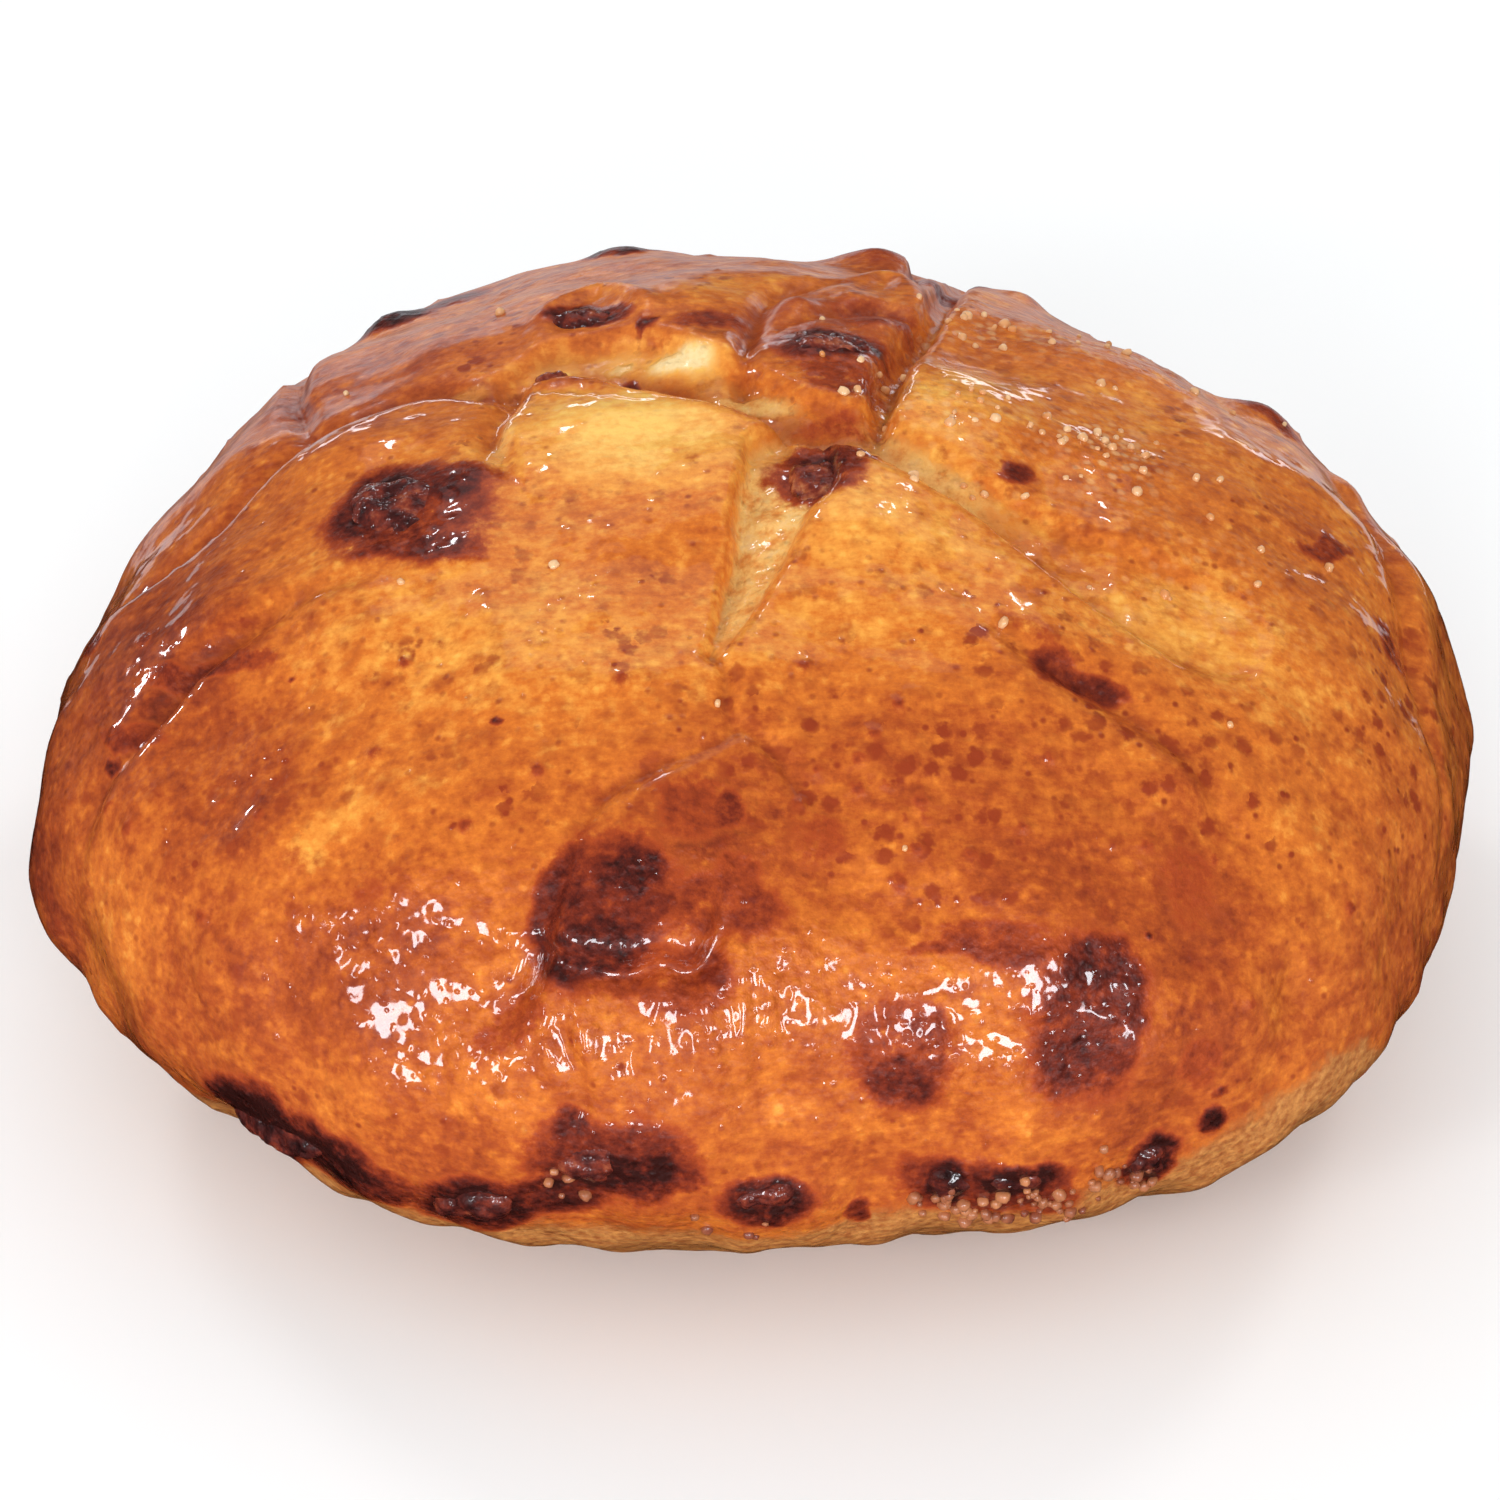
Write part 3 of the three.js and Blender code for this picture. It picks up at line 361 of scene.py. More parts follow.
GLOSS_BOXES = [  # the same for lights that only the glaze shows; the last one lights the back edge from below
    ("far_left_gloss", -53, 18, (0.05, 0.1), 0.3),
    ("left_gloss", -33, 12, (0.12, 0.2), 1.5),
    ("front_gloss", -7, 11, (0.06, 0.3), 1.1),
    ("right_gloss", 14, 14, (0.17, 0.24), 2.7),
    ("far_right_gloss", 29, 12, (0.06, 0.18), 0.7),
    ("side_gloss", -122, 14, (0.06, 0.06), 0.4),
    ("back_left_gloss", -156, 42, (0.05, 0.05), 0.2),
    ("back_right_gloss", 158, 45, (0.045, 0.02), 0.09),
    ("over_gloss", 180, 52, (0.8, 0.5), 0.45),
    ("low_back_left_gloss", -165, 3, (0.4, 0.06), 0.3),
    ("low_back_right_gloss", 160, 3, (0.3, 0.06), 0.2),
    ("back_edge_gloss", 180, -14, (1.3, 0.22), 0.7),
]


# ---- Form of the loaf ----
def plan_radius(azimuth):
    radius = np.full_like(azimuth, LOAF_RADIUS)
    for lobes, size, facing in PLAN_WAVES:
        radius += size * np.cos(lobes * (azimuth - math.radians(facing)))
    return radius


def walk_section():
    """The upright section by the distance walked from the crown: walk, share of the plan radius, height."""
    latitude = np.linspace(math.pi / 2, -math.pi / 2, 6001)
    over = latitude >= 0
    power = np.where(over, 2 / CROWN_FULLNESS, 2 / HEEL_FULLNESS)
    out = np.abs(np.cos(latitude)) ** power
    share = np.abs(np.sin(latitude)) ** power
    up = np.where(over, BELLY_HEIGHT + (LOAF_HEIGHT - BELLY_HEIGHT) * share, BELLY_HEIGHT - HEEL_DROP * share)
    kept = up >= 0
    out, up = out[kept], up[kept]
    steps = np.hypot(np.diff(out) * LOAF_RADIUS, np.diff(up))
    return np.concatenate([[0], np.cumsum(steps)]), out, up


SECTION_WALK, SECTION_OUT, SECTION_UP = walk_section()
FOOT_WALK = SECTION_WALK[-1]


def smooth_crust(right, back):
    azimuth = np.arctan2(back, right)
    walk = np.hypot(right, back)
    radius = np.interp(walk, SECTION_WALK, SECTION_OUT) * plan_radius(azimuth)
    up = np.interp(walk, SECTION_WALK, SECTION_UP)
    return np.stack([radius * np.cos(azimuth), radius * np.sin(azimuth), up], axis=-1)


def unit(vectors):
    return vectors / np.linalg.norm(vectors, axis=-1, keepdims=True)


def crust_axes(right, back):
    """The crust's own directions at each place: to the right, to the back and outwards."""
    probe = 0.3
    to_right = unit(smooth_crust(right + probe, back) - smooth_crust(right - probe, back))
    to_back = unit(smooth_crust(right, back + probe) - smooth_crust(right, back - probe))
    outward = unit(np.cross(to_right, to_back))
    return to_right, np.cross(outward, to_right), outward


# ---- Noise and easing ----
def eased(value):
    share = np.clip(value, 0, 1)
    return share * share * (3 - 2 * share)


def rising(value, start, fade):
    return eased((value - start) / fade)


def lattice_noise(points, size, seed):
    """Smooth noise from -1 to 1 with lumps about size across."""
    spot = points / size + seed * np.array([17.31, 9.73, 4.19])
    cell = np.floor(spot)
    part = eased(spot - cell)
    total = np.zeros(len(points))
    for corner in np.ndindex(2, 2, 2):
        key = (cell + corner) @ np.array([127.1, 311.7, 74.7])
        value = np.sin(key) * 43758.5453
        weight = np.prod(np.where(corner, part, 1 - part), axis=1)
        total += weight * (value - np.floor(value))
    return 2 * total - 1


def rough_noise(points, size, seed, octaves=3):
    """Several sizes of noise at once, each half as large as the one before."""
    total = np.zeros(len(points))
    for octave in range(octaves):
        total += lattice_noise(points, size / 2**octave, seed + octave) / 2**octave
    return total / (2 - 0.5 ** (octaves - 1))


def noisy(points, amount, size, seed):
    return amount * rough_noise(points, size, seed)


# ---- Relief ----
def smooth_path(path, step=1.5):
    """A path's points closer together, on a smooth curve through the ones given."""
    stops = np.array(path, dtype=float)
    padded = np.vstack([2 * stops[0] - stops[1], stops, 2 * stops[-1] - stops[-2]])
    fine = [stops[0]]
    for before, start, end, after in zip(padded, padded[1:], padded[2:], padded[3:]):
        pieces = max(1, math.ceil(np.linalg.norm(end[:2] - start[:2]) / step))
        for piece in range(1, pieces + 1):
            t = piece / pieces
            bend = (2 * before - 5 * start + 4 * end - after) * t * t
            twist = (3 * start - before - 3 * end + after) * t**3
            fine.append(0.5 * (2 * start + (end - before) * t + bend + twist))
    return np.array(fine)


def nearest_on(path, right, back):
    """How far each place is from a path, on which side (1 is left), and the path's values there."""
    away = np.full(right.shape, np.inf)
    side = np.ones(right.shape)
    values = np.zeros((len(right), path.shape[1] - 2))
    for start, end in zip(path, path[1:]):
        run = end[:2] - start[:2]
        share = np.clip(((right - start[0]) * run[0] + (back - start[1]) * run[1]) / (run @ run), 0, 1)
        off_right = right - start[0] - share * run[0]
        off_back = back - start[1] - share * run[1]
        distance = np.hypot(off_right, off_back)
        nearer = distance < away
        away = np.where(nearer, distance, away)
        side = np.where(nearer, np.where(run[0] * off_back - run[1] * off_right < 0, -1, 1), side)
        here = start[2:] + share[:, None] * (end[2:] - start[2:])
        values = np.where(nearer[:, None], here, values)
    return away, side, values


def lip_shape(away, reach):
    return (1 - np.exp(-((away / LIP_RISE) ** 2))) * np.exp(-away / reach)


def slash_relief(right, back):
    """The height of the slashes, how far each place is inside one, and how bare the crumb is there."""
    chart = np.stack([right, back, np.zeros(right.shape)], axis=-1)
    ragged = EDGE_RAGGED * rough_noise(chart, 3.5, 71)
    floor = np.zeros(right.shape)
    cover = np.zeros(right.shape)
    bare = np.zeros(right.shape)
    lip = np.zeros(right.shape)
    for wall, left_lip, right_lip, reach, path in SLASHES:
        away, side, values = nearest_on(smooth_path(path), right, back)
        half_width, depth, crumb = values.T
        away = np.maximum(0, away + ragged)
        inside = eased(1 - (away - half_width) / wall)
        tilt = 1 - FLOOR_TILT * side * np.minimum(1, away / np.maximum(half_width, wall))
        beyond = np.maximum(0, away - half_width - wall / 2)
        curl = np.where(side > 0, left_lip, right_lip)
        floor = np.maximum(floor, depth * inside * tilt)
        cover = np.maximum(cover, inside * np.clip(depth, 0, 1))
        bare = np.maximum(bare, inside * crumb)
        lip = np.maximum(lip, curl * np.minimum(1, depth / 2) * lip_shape(beyond, reach))
    return lip * (1 - cover) - floor, cover, bare


def fold_relief(right, back):
    """The height of the folds, and how deep each place is in one."""
    height = np.zeros(right.shape)
    crease = np.zeros(right.shape)
    for width, lift, reach, path in FOLDS:
        away, side, values = nearest_on(smooth_path(path), right, back)
        depth = values[:, 0]
        valley = np.exp(-((away / width) ** 2))
        raised = abs(lift) * np.minimum(1, depth) * lip_shape(away, reach)
        height += np.where(side == np.sign(lift), raised, 0) - depth * valley
        crease = np.maximum(crease, depth * valley)
    return height, crease


def blob(right, back, at, spread, turn=0):
    """How far inside a soft round patch each place is: 1 in its middle."""
    angle = math.radians(turn)
    off_right = right - at[0]
    off_back = back - at[1]
    along = (off_right * math.cos(angle) + off_back * math.sin(angle)) / spread[0]
    across = (off_back * math.cos(angle) - off_right * math.sin(angle)) / spread[1]
    return np.exp(-(along**2 + across**2))


def patches(right, back, table, grown=1, edge=None):
    """How strong each patch of a table is at each place; edge is where a patch starts, and its rise."""
    for at_right, at_back, along, across, amount, *turn in table:
        patch = blob(right, back, (at_right, at_back), (along * grown, across * grown), *turn)
        yield amount * (eased((patch - edge[0]) / edge[1]) if edge else patch)


def swell_relief(right, back):
    height = np.zeros(right.shape)
    for length, toward, shift, tall in SWELLS:
        along = right * math.cos(math.radians(toward)) + back * math.sin(math.radians(toward))
        height += tall * np.sin(2 * math.pi * along / length + shift)
    return height


def pimple_relief(points):
    """Small round pimples in seeded places, and how far inside one each point is."""
    tree = KDTree(len(points))
    for index, point in enumerate(points):
        tree.insert(point, index)
    tree.balance()
    draw = random.Random(7)
    height = np.zeros(len(points))
    inside = np.zeros(len(points))
    for at_right, at_back, wide, deep, count in PIMPLE_AREAS:
        for _ in range(count):
            right = draw.gauss(at_right, wide / PIMPLE_DEVIATIONS)
            back = draw.gauss(at_back, deep / PIMPLE_DEVIATIONS)
            radius = draw.uniform(*PIMPLE_RADII)
            tall = draw.uniform(*PIMPLE_HEIGHTS)
            middle = smooth_crust(np.array([right]), np.array([back]))[0]
            for _, index, distance in tree.find_range(middle, 1.6 * radius):
                share = math.exp(-((distance / radius) ** 2) * 2)
                height[index] = max(height[index], tall * share)
                inside[index] = max(inside[index], share)
    return height, inside


def spots(right, back, places):
    """How far inside one of the small round spots each place is: 1 in its middle."""
    inside = np.zeros(right.shape)
    for at_right, at_back, radius in places:
        away = np.hypot(right - at_right, back - at_back)
        inside = np.maximum(inside, np.exp(-((away / radius) ** 2)))
    return inside


def craggy_mask(right, back, stain):
    """Where the crust is rough: over the fruit, low on the front and round the heel."""
    heel = ROUGH_HEEL_AMOUNT * rising(np.hypot(right, back), *ROUGH_HEEL)
    return np.clip(np.maximum.reduce([stain, heel, *patches(right, back, CRAGGY)]), 0, 1)


def fine_relief(right, back, points, cover, craggy):
    """Wrinkles of the crust, threads of the torn crumb and crags where fruit has boiled through."""
    wrinkles = noisy(points, *WRINKLES) + noisy(points * [0.6, 1, 1], *FINE_WRINKLES)
    threads = noisy(points, *THREADS)
    crags = np.abs(noisy(points, *CRAGS)) + noisy(points, *FINE_CRAGS)
    drawn_down = np.stack([right, 0.14 * back, np.zeros(right.shape)], axis=-1)
    runs = noisy(drawn_down, *RUNS) * blob(right, back, *RUNS_PATCH)
    return (wrinkles + runs) * (1 - cover) + threads * cover + crags * craggy * (1 - cover)


# ---- Masks ----
def warped(right, back, points, size, far):
    """The same places pushed about, so that the edges of patches run unevenly."""
    push_right = far * rough_noise(points, size, 31)
    push_back = far * rough_noise(points, size, 37)
    return right + push_right, back + push_back


def stain_mask(right, back, points):
    near = warped(*warped(right, back, points, *STAIN_WARP), points, *FINE_STAIN_WARP)
    blisters = BLISTER_STAIN * spots(right, back, BLISTERS)
    specks = SPECK_STAIN * spots(right, back, SPECKS)
    return np.maximum.reduce([blisters, specks, *patches(*near, STAINS, STAIN_SPREAD, STAIN_EDGE)])


def freckled_mask(right, back):
    return np.maximum.reduce([np.full(right.shape, FRECKLED_EVERYWHERE), *patches(right, back, FRECKLED)])


def bare_mask(right, back, bare):
    """The crumb of the slashes and of the patches outside them."""
    return np.maximum.reduce([bare, *patches(right, back, BARE_PATCHES, edge=BARE_EDGE)])


def sugar_mask(right, back):
    """Where grains of sugar stand close together under the glaze."""
    return np.clip(sum(patches(right, back, SUGAR_CLUSTERS[:-1])) / CLOSE_SUGAR, 0, 1)


def rim_mask(right, back, walk):
    """The pale heel, which starts higher towards the front and the right."""
    start = RIM_WALK - sum(patches(right, back, RIM_RISES))
    return rising(walk, start, RIM_FADE)


def browning_and_shade_mask(right, back, points, crease):
    brown = 0.5 + sum(patches(*warped(right, back, points, *BROWNING_WARP), BROWNING_LIGHT_AND_SHADE))
    brown += noisy(points, *CLOUDS) + noisy(points, *FINE_CLOUDS)
    # Darker the deeper a fold runs: painted shade in the creases.
    brown += 0.1 * np.minimum(1, crease)
    # Darker further down the sides, a little more towards the far left and right: painted shade of the low
    # sides.
    walk = np.hypot(right, back)
    sides = np.abs(right) / np.maximum(walk, 1)
    return brown + rising(walk, *SHADED_SIDES) * (0.1 + 0.04 * sides)


# ---- Meshes ----
def stitch(inner, outer):
    """Triangles between two rings with any number of points, walking round both at once."""
    faces = []
    i = 0
    o = 0
    while i < len(inner) or o < len(outer):
        inner_now = inner[i % len(inner)]
        outer_now = outer[o % len(outer)]
        if (o + 0.5) / len(outer) <= (i + 0.5) / len(inner):
            faces.append((inner_now, outer_now, outer[(o + 1) % len(outer)]))
            o += 1
        else:
            faces.append((inner_now, outer_now, inner[(i + 1) % len(inner)]))
            i += 1
    return faces


def ring_plan():
    """The walk from the crown and the number of points of each ring, down to the edge of the foot."""
    plan = []
    walk = 0
    while walk < FOOT_WALK:
        step = CRUST_STEP if walk < HEEL_WALK else HEEL_STEP
        walk = min(walk + step, FOOT_WALK)
        round_length = 2 * math.pi * LOAF_RADIUS * np.interp(walk, SECTION_WALK, SECTION_OUT)
        plan.append((walk, max(6, round(round_length / step))))
    return plan


def crust_chart():
    """Places of the crust's points and the triangles between them; the crown is the first point."""
    right = [0]
    back = [0]
    rings = []
    for walk, count in ring_plan():
        azimuth = 2 * math.pi * np.arange(count) / count
        rings.append(list(range(len(right), len(right) + count)))
        right.extend(walk * np.cos(azimuth))
        back.extend(walk * np.sin(azimuth))
    faces = [(0, rings[0][i], rings[0][(i + 1) % len(rings[0])]) for i in range(len(rings[0]))]
    for inner, outer in zip(rings, rings[1:]):
        faces.extend(stitch(inner, outer))
    return np.array(right), np.array(back), faces, rings[-1]


def close_foot(points, faces, edge):
    """Adds the flat foot inside its edge, as rings that shrink to the middle."""
    foot_radius = LOAF_RADIUS * SECTION_OUT[-1]
    ring = edge
    rounds = round(foot_radius / FOOT_STEP)
    for k in range(1, rounds):
        share = 1 - k / rounds
        count = max(8, round(2 * math.pi * foot_radius * share / FOOT_STEP))
        azimuth = 2 * math.pi * np.arange(count) / count
        inside = smooth_crust(FOOT_WALK * np.cos(azimuth), FOOT_WALK * np.sin(azimuth)) * share
        following = list(range(len(points), len(points) + count))
        points = np.vstack([points, inside])
        faces.extend(stitch(ring, following))
        ring = following
    middle = len(points)
    points = np.vstack([points, [[0, 0, 0]]])
    faces.extend((ring[i], middle, ring[(i + 1) % len(ring)]) for i in range(len(ring)))
    return points, faces


def mesh_piece(name, points, faces):
    """A smooth-shaded object from points in millimetres from the foot of the crown's axis."""
    place = (np.asarray(points) + np.array([*CROWN_AXIS, 0])) * MM
    mesh = bpy.data.meshes.new(name)
    mesh.from_pydata(place.tolist(), [], faces)
    mesh.shade_smooth()
    piece = bpy.data.objects.new(name, mesh)
    bpy.context.scene.collection.objects.link(piece)
    return piece


def add_mask(piece, name, values):
    """Stores one number for each point; points after the last value, which are the foot's, get its last."""
    count = len(piece.data.vertices)
    full = np.concatenate([values, np.full(count - len(values), values[-1])])
    layer = piece.data.attributes.new(name, "FLOAT", "POINT")
    layer.data.foreach_set("value", full.astype(np.float32))


def build_loaf():
    right, back, faces, edge = crust_chart()
    base = smooth_crust(right, back)
    outward = crust_axes(right, back)[2]
    slashes, cover, bare = slash_relief(right, back)
    folds, crease = fold_relief(right, back)
    stain = stain_mask(right, back, base)
    craggy = craggy_mask(right, back, stain)
    pimples, pimple_mask = pimple_relief(base)
    walk = np.hypot(right, back)
    strength = 1 - eased((walk - RELIEF_ENDS[0]) / (RELIEF_ENDS[1] - RELIEF_ENDS[0]))
    relief = slashes + folds + sum(patches(right, back, LUMPS)) + swell_relief(right, back)
    relief += fine_relief(right, back, base, cover, craggy) + pimples * (1 - cover)
    relief += BLISTER_HEIGHT * spots(right, back, BLISTERS)
    points = base + outward * (relief * strength)[:, None]
    points[edge, 2] = 0
    points, faces = close_foot(points, faces, edge)
    loaf = mesh_piece("loaf_crust", points, faces)
    add_mask(loaf, "browning_and_shade", browning_and_shade_mask(right, back, base, crease))
    add_mask(loaf, "stain", stain)
    add_mask(loaf, "crumb", bare_mask(right, back, bare))
    add_mask(loaf, "craggy", craggy)
    add_mask(loaf, "sugar", sugar_mask(right, back))
    add_mask(loaf, "pimple", pimple_mask)
    add_mask(loaf, "freckled", freckled_mask(right, back))
    add_mask(loaf, "rim", rim_mask(right, back, walk))
    add_mask(loaf, "dull", rising(back, *DULL_BACK))
    add_mask(loaf, "upward", rising(back, *UPWARD_BACK))
    return loaf


def crust_points(right, back):
    """Points of the finished crust without its finest relief, and the crust's directions there."""
    axes = crust_axes(right, back)
    relief = slash_relief(right, back)[0] + fold_relief(right, back)[0]
    relief = relief + sum(patches(right, back, LUMPS)) + swell_relief(right, back)
    return smooth_crust(right, back) + axes[2] * relief[:, None], axes


def ball(rounds):
    """A unit ball of even triangles."""
    mesh = bpy.data.meshes.new("ball")
    shape = bmesh.new()
    bmesh.ops.create_icosphere(shape, subdivisions=rounds, radius=1)
    shape.to_mesh(mesh)
    shape.free()
    points = np.array([vertex.co[:] for vertex in mesh.vertices])
    faces = [tuple(polygon.vertices) for polygon in mesh.polygons]
    bpy.data.meshes.remove(mesh)
    return points, faces


def build_fruit(node, at, size, sink, turn, tone):
    """A wrinkled piece of fruit in its place in the crust."""
    points, faces = ball(FRUIT_ROUNDS)
    wrinkle = 1 + noisy(points + at[0], *FRUIT_WRINKLES)
    places, axes = crust_points(np.array([float(at[0])]), np.array([float(at[1])]))
    middle = places[0]
    to_right, _, outward = (axis[0] for axis in axes)
    angle = math.radians(turn)
    long = to_right * math.cos(angle) + np.cross(outward, to_right) * math.sin(angle)
    wide = np.cross(outward, long)
    shaped = points * wrinkle[:, None] * np.array(size) / 2
    place = middle - sink * outward + shaped @ np.array([long, wide, outward])
    creases = np.abs(noisy(place, *FRUIT_CREASES)) - FRUIT_TUCK + noisy(place, *FRUIT_GRAIN)
    place = place + unit(shaped @ np.array([long, wide, outward])) * creases[:, None]
    place = place + outward * noisy(place, *FRUIT_LUMPS)[:, None]
    flesh = mesh_piece(node + "_flesh", place, faces)
    add_mask(flesh, "tone", np.full(len(place), tone))
    return flesh


def build_grains(name, clusters, sizes, seed):
    """Small worn blocks in clusters, as one mesh."""
    draw = random.Random(seed)
    rounded, sides = ball(GRAIN_ROUNDS)
    reach = np.sum(np.abs(rounded) ** GRAIN_SQUARENESS, axis=1, keepdims=True)
    rounded = rounded / reach ** (1 / GRAIN_SQUARENESS)
    places = [
        [draw.gauss(at_right, wide / GRAIN_DEVIATIONS), draw.gauss(at_back, deep / GRAIN_DEVIATIONS)]
        for at_right, at_back, wide, deep, count in clusters
        for _ in range(count)
    ]
    middles, axes = crust_points(*np.array(places).T)
    points = []
    faces = []
    for middle, outward in zip(middles, axes[2]):
        size = draw.uniform(*sizes)
        turn = Vector([draw.uniform(-1, 1) for _ in range(3)])
        spin = np.array(turn.to_track_quat("Z", "Y").to_matrix())
        stretch = np.array([draw.uniform(0.6, 1) for _ in range(3)]) * size / 2
        first = len(points)
        points.extend(middle + outward * size * (0.5 - GRAIN_SINK) + (rounded * stretch) @ spin.T)
        faces.extend(tuple(first + index for index in side) for side in sides)
    return mesh_piece(name, points, faces)


# ---- Materials ----
def srgb(red, green, blue):
    """A colour as it shows on a screen, 0 to 255, turned into Blender's linear values."""
    shares = [value / 255 for value in (red, green, blue)]
    return (*[s / 12.92 if s <= 0.04045 else ((s + 0.055) / 1.055) ** 2.4 for s in shares], 1)


class Finish:
    """A material with one Principled shader, and short ways to add nodes to it."""

    def __init__(self, name):
        self.material = bpy.data.materials.new(name)
        self.material.use_nodes = True
        self.nodes = self.material.node_tree.nodes
        self.links = self.material.node_tree.links
        self.shader = self.nodes["Principled BSDF"]
        self.place = self.nodes.new("ShaderNodeTexCoord").outputs["Object"]

    def put(self, value, socket):
        if isinstance(value, bpy.types.NodeSocket):
            self.links.new(value, socket)
        else:
            socket.default_value = value

    def set(self, **values):
        for name, value in values.items():
            self.put(value, self.shader.inputs[name.replace("_", " ")])

    def add(self, kind, output, inputs, **settings):
        """Adds a node with its settings and its inputs, and gives one of its outputs."""
        node = self.nodes.new("ShaderNode" + kind)
        for name, value in settings.items():
            setattr(node, name, value)
        for name, value in inputs.items():
            self.put(value, node.inputs[name])
        return node.outputs[output]

    def mask(self, name):
        return self.add("Attribute", "Fac", {}, attribute_name=name)

    def stretched(self, across, along, up):
        """Places squeezed so that a pattern on them is drawn out where the share is small."""
        return self.add("VectorMath", "Vector", {0: self.place, 1: (across, along, up)}, operation="MULTIPLY")

    def noise(self, size, detail=4, roughness=0.55, place=None):
        """Noise from 0 to 1 with lumps about size millimetres across."""
        inputs = {"Vector": place or self.place, "Scale": 1 / (size * MM)}
        return self.add("TexNoise", "Fac", {**inputs, "Detail": detail, "Roughness": roughness})

    def ruffled(self, size, far):
        """Places pushed about by up to far millimetres, so that a pattern on them has uneven outlines."""
        noise = self.add("TexNoise", "Color", {"Vector": self.place, "Scale": 1 / (size * MM)})
        push = {0: noise, 1: (2 * far * MM, 2 * far * MM, 2 * far * MM), 2: self.place}
        return self.add("VectorMath", "Vector", push, operation="MULTIPLY_ADD")

    def dots(self, spacing, radius, kept, flat=0.0, place=None):
        """Round dots about spacing millimetres apart, 1 over the flat share of their radius, 0 at their edge.
        A dot stays where its cell's own number, from 0 to 1, is over kept."""
        inputs = {"Vector": place or self.place, "Scale": 1 / (spacing * MM)}
        distance = self.add("TexVoronoi", "Distance", inputs)
        dot = self.ramp(distance, radius / spacing, flat * radius / spacing)
        return self.times(dot, self.ramp(distance.node.outputs["Color"], kept - 0.05, kept + 0.05))

    def math(self, operation, first, second=0.0):
        return self.add("Math", "Value", {0: first, 1: second}, operation=operation)

    def times(self, first, second):
        return self.math("MULTIPLY", first, second)

    def swing(self, value, amount):
        """A value round 0.5 turned into one round nothing, amount times as strong."""
        return self.times(self.math("SUBTRACT", value, 0.5), amount)

    def total(self, *values):
        result = values[0]
        for value in values[1:]:
            result = self.math("ADD", result, value)
        return result

    def ramp(self, value, low, high, to_low=0.0, to_high=1.0):
        """Eases from to_low, where value is at most low, to to_high, where it is at least high."""
        inputs = {"Value": value, "From Min": low, "From Max": high, "To Min": to_low, "To Max": to_high}
        return self.add("MapRange", "Result", inputs, interpolation_type="SMOOTHSTEP")

    def colours(self, value, stops):
        """The colour of a ramp whose stops are a place and a colour as it shows on a screen."""
        colour = self.add("ValToRGB", "Color", {"Fac": value})
        elements = colour.node.color_ramp.elements
        while len(elements) < len(stops):
            elements.new(0.5)
        for element, (position, shown) in zip(elements, stops):
            element.position = position
            element.color = srgb(*shown)
        return colour

    def mix(self, share, first, second):
        return self.add("Mix", 2, {0: share, 6: first, 7: second}, data_type="RGBA")

    def bump(self, height, depth):
        """Relief from a height of 0 to 1 that stands for depth millimetres."""
        return self.add("Bump", "Normal", {"Distance": depth * MM, "Height": height})


CRUST_COLOURS = [
    (0.0, (255, 201, 100)), (0.22, (244, 164, 66)), (0.45, (217, 117, 36)), (0.65, (181, 82, 26)),
    (0.82, (142, 54, 22)), (1.0, (98, 34, 18)),
]
STAIN_COLOURS = [
    (0.0, (206, 102, 34)), (0.35, (170, 68, 24)), (0.58, (126, 42, 19)), (0.8, (90, 27, 17)),
    (1.0, (56, 18, 14)),
]
FRECKLE_COLOUR = srgb(152, 56, 20)
GRAIN_COLOUR = srgb(248, 208, 150)
# The pale heel's colours; the dark end is painted shade of the underside.
SHADED_RIM_COLOURS = [(0.35, (158, 90, 44)), (0.65, (214, 148, 78))]
CRUMB_COLOURS = [
    (0.0, (253, 223, 163)), (0.35, (247, 192, 108)), (0.6, (228, 146, 66)), (1.0, (188, 100, 42)),
]
FRUIT_COLOURS = [
    (0.0, (44, 14, 14)), (0.3, (82, 26, 21)), (0.55, (128, 46, 28)), (0.75, (166, 84, 50)),
    (1.0, (208, 150, 98)),
]
SUGAR_COLOURS = [(0.35, (224, 146, 82)), (0.65, (244, 200, 150))]
HEEL_CRUMB_COLOURS = [(0.35, (140, 66, 40)), (0.65, (200, 126, 78))]
CRUST_BUMP = 0.58
GLAZE_BUMP = 0.32
FRUIT_BUMP = 0.4
FRUIT_GLAZE_BUMP = 0.5


def freckle_share(finish, mottle):
    """How much freckle shows: large blots where they crowd, small speckles and the tops of the pimples."""
    blots = finish.dots(2.6, 1.3, 0.42, flat=0.5, place=finish.ruffled(0.9, 0.7))
    speckles = finish.dots(1.7, 0.55, 0.56, flat=0.3)
    crowded = finish.ramp(finish.total(finish.noise(7, detail=3), finish.mask("freckled")), 0.55, 1.05)
    share = finish.total(
        finish.times(blots, crowded),
        finish.times(speckles, finish.ramp(crowded, 0.0, 1.0, 0.45, 1.0)),
        finish.times(finish.mask("pimple"), 0.5),
    )
    return finish.times(share, finish.ramp(mottle, 0.1, 0.45, 0.2, 0.95))


def skin_colour(finish, coarse, fine, rim):
    """The browned skin with shade painted low on its sides and in its folds, its mottle, freckles, dried
    sugar and pale heel, whose darker colours are painted shade of the underside.
    """
    streaks = finish.noise(1.6, detail=5, roughness=0.7, place=finish.stretched(0.3, 1, 1))
    pale_dots = finish.dots(1.5, 0.9, 0.5, place=finish.ruffled(1.2, 0.4))
    mottle = finish.total(
        finish.mask("browning_and_shade"),
        finish.swing(coarse, 0.5),
        finish.swing(fine, 0.38),
        finish.swing(streaks, 0.4),
        finish.times(pale_dots, -0.12),
    )
    skin = finish.mix(freckle_share(finish, mottle), finish.colours(mottle, CRUST_COLOURS), FRECKLE_COLOUR)
    grains = finish.times(finish.mask("sugar"), finish.dots(1.4, 0.75, 0.35, flat=0.4))
    skin = finish.mix(finish.times(grains, 0.5), skin, GRAIN_COLOUR)
    return finish.mix(rim, skin, finish.colours(fine, SHADED_RIM_COLOURS))


